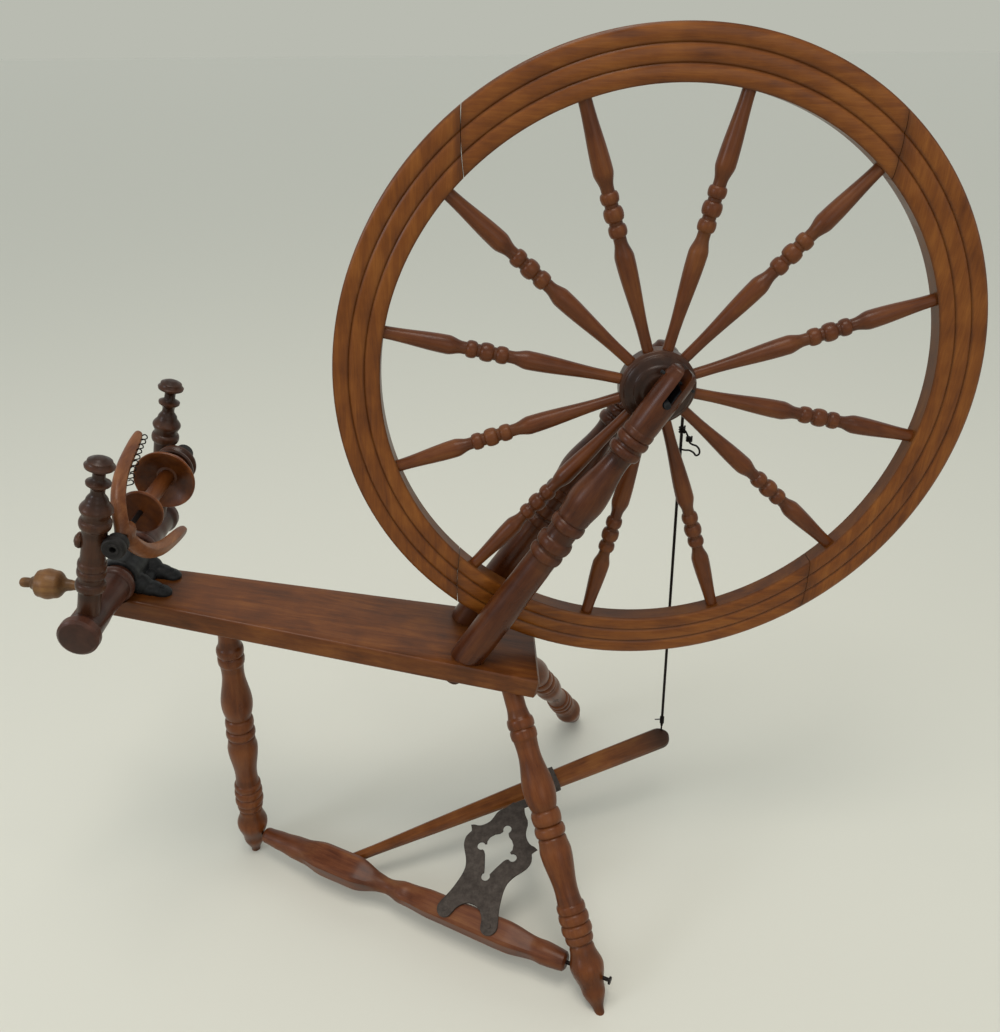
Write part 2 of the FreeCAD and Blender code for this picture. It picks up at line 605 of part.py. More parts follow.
# Iron plate on the rail, with a tongue that rests on the arm and is bent down over both its edges
plate_top = s("plate_seat") + s("plate_thickness")
plate_place = Placement(on_treadle(v("plate_station"), 0, v("plate_seat") + v("plate_thickness") / 2),
                        treadle_place.Rotation)
lobe_radius = s("plate_lobe_dia") * 0.5
plate_pieces = [flat("plate_blank", both_sides("plate"), s("plate_thickness"), plate_place)]
nail_holes = []
for name, side in (("left", -0.5), ("right", 0.5)):
    spot = on_treadle(v("plate_station") + side * v("plate_lobe_spread"), v("plate_lobe_up"),
                      v("plate_seat"))
    place = Placement(spot, treadle_place.Rotation)
    plate_pieces.append(rod(name + "_lobe", lobe_radius, s("plate_thickness"), place))
    plate_pieces.append(block(name + "_lobe_leg", lobe_radius * 2, s("plate_ankle_at") - s("plate_lobe_up"),
                              s("plate_thickness"), place, (-lobe_radius, 0, 0)))
    nail_holes.append(rod(name + "_plate_hole", s("plate_nail_dia") * 0.5 + joint, 20, place))
    rail_cuts.append(rod(name + "_nail_bore", s("plate_nail_dia") * 0.5 + joint, s("plate_nail_depth") + 0.5,
                         Placement(place.multVec(Vector(0, 0, -v("plate_nail_depth") - 0.5)), place.Rotation)))
    nail_length = s("plate_nail_depth") + s("plate_thickness")
    node(name + "_plate_nail", fuse(name + "_plate_nail_whole", [
        rod(name + "_plate_nail_shank", s("plate_nail_dia") * 0.5, nail_length,
            Placement(place.multVec(Vector(0, 0, -v("plate_nail_depth"))), place.Rotation)),
        rod(name + "_plate_nail_head", s("plate_nail_head_dia") * 0.5, s("plate_nail_head_height"),
            Placement(place.multVec(Vector(0, 0, v("plate_thickness"))), place.Rotation))]))
opening = [flat("plate_opening", both_sides("opening"), s("plate_thickness") * 3, plate_place)]
opening_ends = [(0, s("opening_low_at")), (0, s("opening_high_at")),
                (0.5, s("opening_belly_at") + 6), (-0.5, s("opening_belly_at") + 6)]
for i, (side, up) in enumerate(opening_ends):
    opening.append(rod("opening_end_%d" % (i + 1), s("plate_hole_dia") * 0.5, 20,
                       Placement(plate_place.multVec(Vector(side * v("plate_hole_spread"), up.value, -10)),
                                 plate_place.Rotation)))
strap_half = keep("strap_inner_half", v("arm_middle_width") / 2 + (v("strap_place") + v("strap_width")
                  - v("arm_middle")) / (arm_last.value - v("arm_middle"))
                  * (v("arm_end_width") - v("arm_middle_width")) / 2 + 0.2)
strap_bottom = half_arm + joint
strap_outer = strap_half + s("strap_wall")
strap_parts = [block("strap_top", s("strap_width"), strap_outer * 2, s("strap_wall"), arm_place,
                     (s("strap_place"), -strap_outer, strap_bottom))]
for name, start in (("front", -strap_outer), ("rear", strap_half)):
    strap_parts.append(block("strap_" + name, s("strap_width"), s("strap_wall"),
                             s("arm_thickness") + s("strap_wall"), arm_place,
                             (s("strap_place"), start, -half_arm)))
tongue_low = on_treadle(v("plate_station"), v("plate_tongue_at") - 4, v("plate_seat"))
tongue_high = arm_place.multVec(Vector(v("strap_place") + v("strap_width") / 2, -strap_outer.value + 1,
                                       half_arm.value - v("strap_wall")))
tongue_length = keep("tongue_length", (tongue_high - tongue_low).Length)
tongue_frame = frame(tongue_low, treadle_place.Rotation.multVec(Vector(0, 0, 1)), tongue_high - tongue_low)
tongue = block("tongue_bar", s("plate_thickness"), s("plate_tongue_wide"), tongue_length, tongue_frame,
               (0, s("plate_tongue_wide") * -0.5, 0))
arm_room = block("arm_room", s("strap_width") + 40, strap_half * 2, strap_bottom * 2, arm_place,
                 (s("strap_place") - 20, -strap_half, -strap_bottom))
node("treadle_plate", cut("plate_whole", fuse("plate_joined", plate_pieces + strap_parts + [tongue]),
                          opening + nail_holes + [arm_room]))
node("treadle_rail", cut("rail_whole", rail_body, rail_cuts))

# Footman: an iron rod from the treadle's hole to an eye just behind the crank pin
eye_centre = pin_centre + back_way * (v("crank_thickness") + v("pin_length") + v("footman_gap")
                                      + v("footman_eye_width") / 2)
footman_way = (eye_centre - hole_centre).normalize()
footman_radius = s("footman_dia") * 0.5
eye_radius = s("footman_eye_dia") * 0.5
footman_length = keep("footman_length", (eye_centre - hole_centre).Length)
rod_start = hole_centre - footman_way * v("footman_tail")
eye_start = eye_centre - back_way * (v("footman_eye_width") / 2)

# The hole leans the way the footman does halfway through its swing, and widens to both faces of the arm.
hole_way = Rotation(rail_way, v("arm_hole_turn")).multVec(footman_way)
hole_radius = s("arm_hole_dia") * 0.5
mouth = [cone("arm_hole_" + name, hole_radius, hole_radius + reach * v("arm_hole_flare"), reach,
              aim(hole_centre, hole_way * side))
         for name, side, reach in (("above", 1, s("arm_thickness") * 0.5), ("below", -1, s("arm_thickness") + 4))]
node("treadle_arm", cut("arm_whole", fuse("arm_joined", [arm_board, arm_end]), mouth))

wire_radius = s("footman_wire_dia") * 0.5
footman_wire = rod("footman_wire", wire_radius, s("footman_tail") + s("footman_wire_up") + 1,
                   aim(rod_start, footman_way))
shank_foot = hole_centre + footman_way * v("footman_wire_up")
footman_rod = rod("footman_shank", footman_radius, footman_length - s("footman_wire_up") - eye_radius + 1,
                  aim(shank_foot, footman_way))
footman_knot = rod("footman_knot", s("knot_dia") * 0.5, s("knot_length"),
                   aim(hole_centre + footman_way * v("knot_up"), footman_way))
footman_head = rod("footman_head", footman_radius, footman_radius, aim(rod_start, footman_way))
knot_end = rod("knot_wire", s("knot_wire_dia") * 0.5, s("knot_wire_length"),
               aim(hole_centre + footman_way * (v("knot_up") + v("knot_length") * 0.6), Vector(-1, 0, 0)))
footman_eye = rod("footman_eye", eye_radius, s("footman_eye_width"), aim(eye_start, back_way))
eye_hole = rod("footman_eye_hole", s("pin_dia") * 0.5 + running, 20, aim(eye_start - back_way * 8, back_way))
node("footman", cut("footman_whole", fuse("footman_joined", [footman_wire, footman_rod, footman_knot,
                                                             footman_head, knot_end, footman_eye]),
                    [eye_hole]))

# Head frame: X away from the left, Y along the bar to the back, Z along the uprights
bar_centre = on_table(v("bar_in"), 0, v("bar_up"))
saddle_place = Placement(bar_centre, table_place.Rotation * Rotation(Vector(0, 0, 1), -v("head_yaw")))
head_place = Placement(bar_centre, saddle_place.Rotation * Rotation(Vector(0, 1, 0), v("head_tilt")))


def on_head(x, y, z):
    return head_place.multVec(Vector(x, y, z))


def head_turned(name, stations):
    """Turned piece along the bar; places are measured from the bar's middle."""
    return turned(name, stations, head_place.multiply(Placement(Vector(), Rotation(Vector(1, 0, 0), -90))))


half_bar = s("bar_length") * 0.5
half_journal = s("journal_length") * 0.5
collar_radius = s("bar_collar_dia") * 0.5
journal_radius = s("journal_dia") * 0.5
shoulder_radius = s("bar_face_wide") * 0.5
bar_stations = [(z - half_bar, r) for z, r in row("bar")]
near_end = s("saddle_shift") - half_journal
far_end = s("saddle_shift") + half_journal
width = s("bar_collar_width")
bar_stations += [(near_end - width * 1.7, shoulder_radius), (near_end - width, collar_radius),
                 (near_end, collar_radius), (near_end + 1.5, journal_radius), (far_end - 1.5, journal_radius),
                 (far_end, collar_radius), (far_end + width, collar_radius),
                 (far_end + width * 1.7, shoulder_radius)]
bar_stations += [(half_bar - z, r) for z, r in reversed(row("bar"))]
bar_body = head_turned("bar_turned", bar_stations)
seat_radius = s("bar_throat_wide") * 0.5
bar_cuts = []
upright_tenon = s("upright_tenon_dia") * 0.5
shank_radius = s("shank_dia") * 0.5
bearing_radius = s("bearing_dia") * 0.5
tenon_low = seat_radius - s("upright_tenon_depth")
for name, side, bore in (("near", -1, s("orifice_dia")), ("far", 1, s("spindle_dia"))):
    y = side * v("upright_spacing") / 2
    place = head_place.multiply(Placement(Vector(0, y, 0), Rotation()))
    shaft = turned(name + "_upright_turned", row("upright"), place)
    bar_around = rod(name + "_bar_around", seat_radius + joint, 80,
                     Placement(on_head(0, y - 40, 0), head_place.Rotation * Rotation(Vector(1, 0, 0), -90)))
    knob_x = -half_width_at("upright", v("flyer_up")) - v("shank_out")
    sideways = head_place.Rotation * Rotation(Vector(0, 1, 0), 90)
    shank_place = Placement(on_head(knob_x, y, v("flyer_up")), sideways)
    shank_length = s("flyer_out") - bearing_radius + 2 - knob_x
    shank_hole = rod(name + "_shank_hole", shank_radius + joint, 60,
                     Placement(on_head(-30, y, v("flyer_up")), sideways))
    fitted = cut(name + "_upright_fitted", shaft, [bar_around, shank_hole])
    tenon_place = Placement(on_head(0, y, tenon_low.value), head_place.Rotation)
    tenon = rod(name + "_upright_tenon", upright_tenon, s("upright_tenon_depth") + 8, tenon_place)
    node(name + "_upright", fuse(name + "_upright_whole", [fitted, tenon]))
    bar_cuts.append(rod(name + "_upright_socket", upright_tenon + joint, 60,
                        Placement(on_head(0, y, (tenon_low - joint).value), head_place.Rotation)))
    ring_turn = head_place.Rotation * Rotation(Vector(1, 0, 0), -90)
    ring_start = on_head(v("flyer_out"), y - v("bearing_thickness") / 2, v("flyer_up"))
    ring = rod(name + "_ring", bearing_radius, s("bearing_thickness"), Placement(ring_start, ring_turn))
    shank = rod(name + "_shank", shank_radius, shank_length, shank_place)
    knob = rod(name + "_knob", s("knob_dia") * 0.5, s("knob_length"),
               Placement(on_head(knob_x - v("knob_length"), y, v("flyer_up")), sideways))
    ring_bore = rod(name + "_ring_bore", bore * 0.5 + running, 60,
                    Placement(on_head(v("flyer_out"), y - 30, v("flyer_up")), ring_turn))
    node(name + "_bearing", cut(name + "_bearing_whole", fuse(name + "_bearing_joined", [ring, shank, knob]),
                                [ring_bore]))
node("mother_of_all", cut("bar_whole", bar_body, bar_cuts))

# Saddle strap: over the bar's journal, a foot nailed to the table, a tab down to the clamp screw
saddle_inner = journal_radius + s("seat_clearance")
saddle_outer = saddle_inner + s("saddle_wall")
half_saddle = s("saddle_width") * 0.5
saddle_front = s("saddle_shift") - half_saddle
along_y = saddle_place.Rotation * Rotation(Vector(1, 0, 0), -90)
arch = cut("saddle_arch", rod("saddle_round", saddle_outer, s("saddle_width"),
                              Placement(saddle_place.multVec(Vector(0, saddle_front.value, 0)), along_y)),
           [block("saddle_lower_half", 100, 200, 50, saddle_place, (-50, -100, -50))])
tab_width = s("saddle_notch")
saddle_pieces = [
    arch,
    block("saddle_back", s("saddle_wall"), s("saddle_width"), s("bar_up"), saddle_place,
          (saddle_inner, saddle_front, -s("bar_up"))),
    block("saddle_sole", s("saddle_foot") - saddle_inner, s("saddle_width"), s("saddle_wall"), saddle_place,
          (saddle_inner, saddle_front, -s("bar_up"))),
    block("saddle_tab", s("saddle_wall"), tab_width, s("bar_up") + s("saddle_drop"), saddle_place,
          (-saddle_outer, tab_width * -0.5, -s("bar_up") - s("saddle_drop")))]
lobe = (s("saddle_width") - s("saddle_notch")) * 0.25
nail_shank = s("saddle_nail_dia") * 0.5
saddle_cuts = [rod("saddle_hollow", saddle_inner, 200,
                   Placement(saddle_place.multVec(Vector(0, -100, 0)), along_y)),
               block("saddle_notch_cut", 60, s("saddle_notch"), 12, saddle_place,
                     (s("saddle_foot") - lobe, s("saddle_shift") - s("saddle_notch") * 0.5,
                      -s("bar_up") - 4))]
for name, side in (("near", -1), ("far", 1)):
    spot = saddle_place.multVec(Vector(v("saddle_foot"), v("saddle_shift") + side * (half_saddle - lobe).value,
                                       -v("bar_up")))
    upright = Placement(spot, saddle_place.Rotation)
    saddle_pieces.append(rod(name + "_saddle_lobe", lobe, s("saddle_wall"), upright))
    saddle_cuts.append(rod(name + "_saddle_hole", nail_shank + joint, 20, upright))
    below = Placement(upright.multVec(Vector(0, 0, -v("saddle_nail_depth"))), upright.Rotation)
    table_cuts.append(rod(name + "_table_nail_hole", nail_shank + joint, s("saddle_nail_depth") + 5,
                          Placement(upright.multVec(Vector(0, 0, -v("saddle_nail_depth") - 0.5)),
                                    upright.Rotation)))
    node(name + "_saddle_nail", fuse(name + "_saddle_nail_whole", [
        rod(name + "_saddle_nail_shank", nail_shank, s("saddle_nail_depth") + s("saddle_wall"), below),
        rod(name + "_saddle_nail_head", s("saddle_nail_head_dia") * 0.5, s("saddle_nail_head_height"),
            Placement(upright.multVec(Vector(0, 0, v("saddle_wall"))), upright.Rotation))]))

# Clamp: a screw in the table's end, with a turned handle that draws the saddle's tab in
clamp_way = Rotation(Vector(0, 1, 0), v("clamp_slope")).multVec(Vector(-1, 0, 0))
clamp_start = on_table(0, 0, -v("clamp_drop"))
screw_radius = s("screw_dia") * 0.5
handle_start = s("handle_gap")
handle_place = aim(clamp_start + clamp_way * handle_start.value, clamp_way)
screw = rod("screw_rod", screw_radius, s("screw_depth") + handle_start + s("screw_grip"),
            aim(clamp_start - clamp_way * v("screw_depth"), clamp_way))
node("clamp_screw", screw)
for cuts, name in ((table_cuts, "table"), (saddle_cuts, "saddle")):
    cuts.append(rod("screw_way_" + name, screw_radius + running, s("screw_depth") + 60,
                    aim(clamp_start - clamp_way * (v("screw_depth") + 0.5), clamp_way)))
handle = turned("handle_turned", row("handle"), handle_place)
node("clamp_handle", cut("handle_whole", handle, [
    rod("handle_bore", screw_radius + joint, s("screw_grip") + joint + 5,
        Placement(handle_place.multVec(Vector(0, 0, -5)), handle_place.Rotation))]))
node("saddle_strap", cut("saddle_whole", fuse("saddle_joined", saddle_pieces), saddle_cuts))
collar_room = saddle_front - s("seat_clearance")
table_cuts += [rod("table_cove", saddle_inner, 240, Placement(saddle_place.multVec(Vector(0, -120, 0)), along_y)),
               rod("table_collar_cove", collar_radius + s("seat_clearance"), 100,
                   Placement(saddle_place.multVec(Vector(0, collar_room.value - 100, 0)), along_y))]
node("table", cut("table_whole", board, table_cuts))

# Flyer: an iron spindle with its orifice, a wooden fork and a whorl, all about one axis
flyer_place = head_place.multiply(Placement(Vector(v("flyer_out"), 0, v("flyer_up")),
                                            Rotation(Vector(1, 0, 0), -90)))
spindle_radius = s("spindle_dia") * 0.5
orifice_radius = s("orifice_dia") * 0.5
spindle = turned("spindle_turned", [(s("orifice_front"), orifice_radius), (s("fork_base"), orifice_radius),
                                    (s("fork_base"), spindle_radius), (s("spindle_end"), spindle_radius)],
                 flyer_place)
bore_place = Placement(flyer_place.multVec(Vector(0, 0, v("orifice_front") - 5)), flyer_place.Rotation)
orifice_bore = rod("orifice_bore_cut", s("orifice_bore") * 0.5, s("orifice_depth") + 5, bore_place)
eye_up = s("orifice_front") + s("orifice_eye_in")
orifice_eye = rod("orifice_eye_cut", s("orifice_eye_dia") * 0.5, 20,
                  Placement(flyer_place.multVec(Vector(0, 0, eye_up.value)),
                            flyer_place.Rotation * Rotation(Vector(0, 0, 1), -v("fork_turn"))
                            * Rotation(Vector(1, 0, 0), 90)))
node("flyer_spindle", cut("spindle_whole", spindle, [orifice_bore, orifice_eye]))

fork_base = s("fork_base")
fork_frame = flyer_place.multiply(Placement(Vector(), Rotation(Vector(0, 0, 1), -v("fork_turn"))
                                            * Rotation(Vector(1, 0, 0), 90)))
outer = [(w, at + fork_base) for at, w in row("fork")]
inner = [(w, at + fork_base) for at, w in row("fork_inside")]
fork_corners = (outer + list(reversed(inner)) + [(-w, y) for w, y in inner]
                + [(-w, y) for w, y in reversed(outer)])
fork_board = flat("fork_board", fork_corners, s("fork_thickness"), fork_frame)
fork_bore = rod("fork_bore", spindle_radius + joint, 100,
                Placement(flyer_place.multVec(Vector(0, 0, v("fork_base") - 20)), flyer_place.Rotation))
node("flyer_fork", cut("fork_whole", fork_board, [fork_bore]))


def whorl(name, front, wide, radius, fit):
    """Grooved pulley on the spindle."""
    start = (s("spindle_dia") * 0.5) + fit
    depth = s("whorl_groove")
    return [(front, start), (front, radius), (front + wide * 0.2, radius), (front + wide * 0.5, radius - depth),
            (front + wide * 0.8, radius), (front + wide, radius), (front + wide, start)]


def ring_turned(name, stations):
    """Turned piece with a bore: the outline closes on itself instead of on the axis."""
    body = doc.addObject("PartDesign::Body", name)
    sketch = body.newObject("Sketcher::SketchObject", name + "_outline")
    attach(sketch, body, "XZ_Plane")
    draw(sketch, [(r, z) for z, r in stations])
    turning = body.newObject("PartDesign::Revolution", name + "_turning")
    turning.Profile = sketch
    turning.ReferenceAxis = (sketch, ["V_Axis"])
    turning.Angle = 360
    body.Tip = turning
    body.Placement = flyer_place
    return body


node("flyer_whorl", ring_turned("flyer_whorl_turned", whorl("flyer_whorl", s("flyer_whorl_front"),
                                                            s("flyer_whorl_width"),
                                                            s("flyer_whorl_dia") * 0.5, joint)))
# Bobbin: a disc, a barrel, a dish that opens to the front, and its whorl
front = s("bobbin_front")
barrel = s("barrel_dia") * 0.5
rim = s("dish_rim")
wall = s("dish_wall")
bore = spindle_radius + running
bobbin_whorl = whorl("bobbin_whorl", s("bobbin_whorl_front"), s("bobbin_whorl_width"),
                     s("bobbin_whorl_dia") * 0.5, running)
bobbin = [(front, bore), (front, s("disc_dia") * 0.5), (front + s("disc_thickness"), s("disc_dia") * 0.5),
          (front + s("disc_thickness"), barrel), (rim + s("dish_depth"), barrel),
          (rim + s("dish_depth") * 0.6, s("dish_dia") * 0.35), (rim, s("dish_dia") * 0.5 - wall * 0.4),
          (rim + wall * 0.5, s("dish_dia") * 0.5), (rim + s("dish_depth") * 0.6 + wall, s("dish_dia") * 0.37),
          (s("bobbin_whorl_front") - 1, s("dish_dia") * 0.24)] + bobbin_whorl[1:]
node("bobbin", ring_turned("bobbin_turned", bobbin))

doc.recompute()

for thing in doc.Objects:
    if "Invalid" in thing.State or "Error" in thing.State:
        raise RuntimeError("%s did not build" % thing.Name)
for label, thing in nodes.items():
    if thing.Shape.isNull() or not thing.Shape.isValid() or len(thing.Shape.Solids) != 1:
        raise RuntimeError("%s is not one sound solid" % label)

os.makedirs("parts", exist_ok=True)
for label, thing in nodes.items():
    thing.Label = label
    thing.Shape.exportStep("parts/%s.step" % label)
print("%d nodes" % len(nodes))
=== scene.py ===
import json
import math

import bmesh
import bpy
from mathutils import Matrix, Vector


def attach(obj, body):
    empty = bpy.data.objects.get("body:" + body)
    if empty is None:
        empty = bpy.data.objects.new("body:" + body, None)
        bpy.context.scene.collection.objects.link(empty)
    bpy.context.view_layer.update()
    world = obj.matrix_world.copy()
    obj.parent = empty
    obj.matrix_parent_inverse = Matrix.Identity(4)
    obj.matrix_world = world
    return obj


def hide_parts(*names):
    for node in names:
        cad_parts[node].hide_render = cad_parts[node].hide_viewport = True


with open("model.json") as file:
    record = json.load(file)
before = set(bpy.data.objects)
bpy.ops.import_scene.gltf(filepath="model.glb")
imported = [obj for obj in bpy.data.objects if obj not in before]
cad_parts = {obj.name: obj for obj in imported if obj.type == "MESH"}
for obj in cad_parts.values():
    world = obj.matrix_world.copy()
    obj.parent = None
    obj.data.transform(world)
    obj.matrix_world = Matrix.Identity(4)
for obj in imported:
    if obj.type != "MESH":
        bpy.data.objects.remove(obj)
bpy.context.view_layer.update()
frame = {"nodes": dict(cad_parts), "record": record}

joints = {joint["name"]: joint for joint in frame["record"]["behaviour"]["joints"]}
mm = 0.001


def linearColour(hexText, alpha=1.0):
    parts = [int(hexText[i:i + 2], 16) / 255 for i in (0, 2, 4)]
    return tuple(p / 12.92 if p <= 0.04045 else ((p + 0.055) / 1.055) ** 2.4 for p in parts) + (alpha,)


def addNode(tree, kind, settings=None, **links):
    # a link named i0, i1 goes to the input of that number
    node = tree.nodes.new(kind)
    for key, value in (settings or {}).items():
        if isinstance(key, int) or key in node.inputs:
            node.inputs[key].default_value = value
        else:
            setattr(node, key, value)
    for key, source in links.items():
        place = int(key[1:]) if key[0] == "i" and key[1:].isdigit() else key.replace("_", " ")
        tree.links.new(source, node.inputs[place])
    return node


def jointAt(name):
    return Vector(joints[name]["pos_m"])


def jointWay(name):
    return Vector(joints[name]["axis"])


def turnOf(ways):
    return Matrix(ways).transposed().to_4x4()


def frameAt(origin, zWay, xHint=Vector((1, 0, 0))):
    z = Vector(zWay).normalized()
    y = z.cross(xHint).normalized()
    return Matrix.Translation(Vector(origin)) @ turnOf((y.cross(z), y, z))


def placesFrom(origin, *ways):
    # gives the place that lies so many millimetres along each of the three ways
    return lambda a, b, c: origin + (ways[0] * a + ways[1] * b + ways[2] * c) * mm


def linked(name, data):
    thing = bpy.data.objects.new(name, data)
    bpy.context.scene.collection.objects.link(thing)
    return thing


def newObject(name, mesh, material):
    mesh.materials.clear()
    mesh.materials.append(material)
    return linked(name, mesh)


def onBody(thing, body, slotName, *nodes):
    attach(thing, body)
    if nodes:
        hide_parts(*nodes)


def shade(mesh, angle=32):
    for polygon in mesh.polygons:
        polygon.use_smooth = True
    mesh.set_sharp_from_angle(angle=math.radians(angle))


def storeGrain(mesh, points, wearAndShade=None):
    grain = mesh.attributes.new("grain", "FLOAT_VECTOR", "POINT")
    for i, p in enumerate(points):
        grain.data[i].vector = p
    hollow = mesh.attributes.new("hollow", "FLOAT", "POINT")
    for i in range(len(points)):
        hollow.data[i].value = wearAndShade[i] if wearAndShade else 0.0


def remade(mesh, change=None):
    # makes the change, if one is given, and turns the faces outward
    work = bmesh.new()
    work.from_mesh(mesh)
    if change:
        change(work)
    bmesh.ops.recalc_face_normals(work, faces=work.faces)
    work.to_mesh(mesh)
    work.free()


def meshFrom(name, points, faces):
    mesh = bpy.data.meshes.new(name)
    mesh.from_pydata([tuple(p) for p in points], [], faces)
    remade(mesh)
    return mesh


def pieceFrom(name, points, faces, material, angle=None):
    thing = newObject(name, meshFrom(name, points, faces), material)
    if angle:
        shade(thing.data, angle)
    return thing


def evaluated(thing, keepLayers=False):
    # the mesh of a piece with its modifiers applied
    bpy.context.view_layer.update()
    depsgraph = bpy.context.evaluated_depsgraph_get()
    return bpy.data.meshes.new_from_object(thing.evaluated_get(depsgraph), depsgraph=depsgraph,
                                           preserve_all_data_layers=keepLayers)


def applyModifiers(thing, keepLayers=False):
    mesh = evaluated(thing, keepLayers)
    thing.modifiers.clear()
    thing.data = mesh


def tubeFaces(rings, around, closed=False, capped=True, first=0):
    # squares between rings of points that follow each other, then a face over each end
    faces = []
    for i in range(rings if closed else rings - 1):
        low, high = first + i * around, first + (i + 1) % rings * around
        faces += [(low + k, low + (k + 1) % around, high + (k + 1) % around, high + k) for k in range(around)]
    if capped and not closed:
        faces += [tuple(first + i * around + k for k in range(around)) for i in (0, rings - 1)]
    return faces


def curveThrough(stations):
    # k is a crisp edge, s a smooth swell or neck, b the round top of a bead
    rows = []
    for (z0, d0, a), (z1, d1, b) in zip(stations, stations[1:]):
        steps = 1 if a == "k" and b == "k" else max(3, min(10, int(abs(z1 - z0) / 2.5) + 2))
        for i in range(steps):
            t = i / steps
            if a == "k" and b == "k":
                share = t
            elif a == "k":
                share = math.sqrt(1 - (1 - t) ** 2) if b == "b" else 1 - (1 - t) ** 2
            elif b == "k":
                share = 1 - math.sqrt(1 - t ** 2) if a == "b" else t ** 2
            else:
                share = t * t * (3 - 2 * t)
            rows.append((z0 + (z1 - z0) * t, (d0 + (d1 - d0) * share) / 2))
    rows.append((stations[-1][0], stations[-1][1] / 2))
    return rows


def hollowShare(rows, reach=12):
    # how far each place lies below the greatest radius near it
    shares = []
    for z, r in rows:
        near = [other for place, other in rows if abs(place - z) < reach]
        shares.append(min(1.0, (max(near) - r) / 6))
    return shares


def fade(distance, start, run, strength):
    # full strength as far as the start, then nothing left after the run
    return max(0.0, 1 - max(0.0, distance - start) / run) * strength


def sweepRound(rows, segments, seat, closed=False, radiusAt=None):
    # rows of (place along, radius) turned round the seat's own z
    points = []
    for z, r in rows:
        for k in range(segments):
            a = 2 * math.pi * (k + 0.5) / segments
            reach = radiusAt(z, r, a) if radiusAt else r
            points.append(seat @ (Vector((reach * math.cos(a), reach * math.sin(a), z)) * mm))
    return points, tubeFaces(len(rows), segments, closed)


def turnedGrain(mesh, seat, rows, seed):
    # grain runs along the turning; the hollows between its beads are known from the nearest row
    shares = hollowShare(rows)
    back = seat.inverted()
    grains, wearAndShade = [], []
    for vertex in mesh.vertices:
        local = back @ vertex.co
        grains.append(local + Vector((seed, seed * 0.7, seed * 1.3)))
        near = min(range(len(rows)), key=lambda i: abs(rows[i][0] * mm - local.z))
        wearAndShade.append(shares[near])
    storeGrain(mesh, grains, wearAndShade)


def lathe(name, stations, seat, material, segments=48, seed=0.0, slices=(), cutters=(), facets=None, angle=32):
    rows = curveThrough(stations)

    def reach(z, r, a):
        # four flats with round corners between them
        turn = (a + math.pi / 4) % (math.pi / 2) - math.pi / 4
        return r + (min(r * railShape["flat"] / math.cos(turn), r) - r) * facets(z)

    thing = pieceFrom(name, *sweepRound(rows, segments, seat, False, reach if facets else None), material)
    for point, normal in slices:
        sliceOff(thing, point, normal)
    if cutters:
        carve(thing, cutters, angle)
    turnedGrain(thing.data, seat, rows, seed)
    shade(thing.data, angle)
    return thing


def latheLoop(name, loop, seat, material, segments=64, seed=0.0):
    # a closed outline of (place along, width across), turned to a ring with a hole
    rows = [(z, d / 2) for z, d in loop]
    thing = pieceFrom(name, *sweepRound(rows, segments, seat, True), material)
    turnedGrain(thing.data, seat, rows, seed)
    shade(thing.data)
    return thing


def sliceOff(thing, point, normal):
    # keeps what lies against the normal, and closes the cut
    def cut(work):
        made = bmesh.ops.bisect_plane(work, geom=work.verts[:] + work.edges[:] + work.faces[:], plane_co=point,
                                      plane_no=normal, clear_outer=True, dist=1e-7)
        bmesh.ops.edgeloop_fill(work, edges=[e for e in made["geom_cut"] if isinstance(e, bmesh.types.BMEdge)])

    remade(thing.data, cut)
    shade(thing.data)


def carve(thing, cutters, angle=32):
    # exact cut of closed cutters out of a piece
    for cutter in cutters:
        cutting = thing.modifiers.new("cut", "BOOLEAN")
        cutting.operation = "DIFFERENCE"
        cutting.solver = "EXACT"
        cutting.object = cutter
    applyModifiers(thing, True)
    for cutter in cutters:
        bpy.data.objects.remove(cutter)
    shade(thing.data, angle)


def prism(loop, seat, low, high):
    # a flat outline in the seat's x and y, drawn out from low to high along its z
    count = len(loop)
    points = [seat @ (Vector((x, y, z)) * mm) for z in (low, high) for x, y in loop]
    faces = [tuple(reversed(range(count))), tuple(range(count, 2 * count))]
    faces += [(i, (i + 1) % count, (i + 1) % count + count, i + count) for i in range(count)]
    return linked("prism", meshFrom("prism", points, faces))


def arcPoints(centre, radius, begin, end, steps=12):
    return [(centre[0] + radius * math.cos(math.radians(begin + (end - begin) * i / steps)),
             centre[1] + radius * math.sin(math.radians(begin + (end - begin) * i / steps)))
            for i in range(steps + 1)]


def circlePoints(radius, count):
    return arcPoints((0, 0), radius, 0, 360 - 360 / count, count - 1)


def smoothLine(points, steps=8):
    # points set close together on a soft curve through the given ones
    line = []
    ends = [points[0] * 2 - points[1]] + list(points) + [points[-1] * 2 - points[-2]]
    for a, b, c, d in zip(ends, ends[1:], ends[2:], ends[3:]):
        for i in range(steps):
            t = i / steps
            line.append(0.5 * ((2 * b) + (c - a) * t + (2 * a - 5 * b + 4 * c - d) * t * t
                               + (3 * b - a - 3 * c + d) * t ** 3))
    line.append(points[-1])
    return line


def wayAlong(line, i):
    return (line[min(i + 1, len(line) - 1)] - line[max(i - 1, 0)]).normalized()


def wire(name, line, radius, material, sides=10):
    # a round wire along the line, closed at both ends; radius and line in metres
    points = []
    side = None
    for i, p in enumerate(line):
        way = wayAlong(line, i)
        if side is None:
            side = way.orthogonal().normalized()
        side = (side - way * side.dot(way)).normalized()
        up = way.cross(side)
        for k in range(sides):
            a = 2 * math.pi * k / sides
            points.append(p + (side * math.cos(a) + up * math.sin(a)) * radius)
    return pieceFrom(name, points, tubeFaces(len(line), sides), material, 50)


def barSection(w, d, c):
    # half as wide as w and half as deep as d, its four corners cut by c
    return ((-w + c, -d), (w - c, -d), (w, -d + c), (w, d - c), (w - c, d), (-w + c, d), (-w, d - c),
            (-w, -d + c))


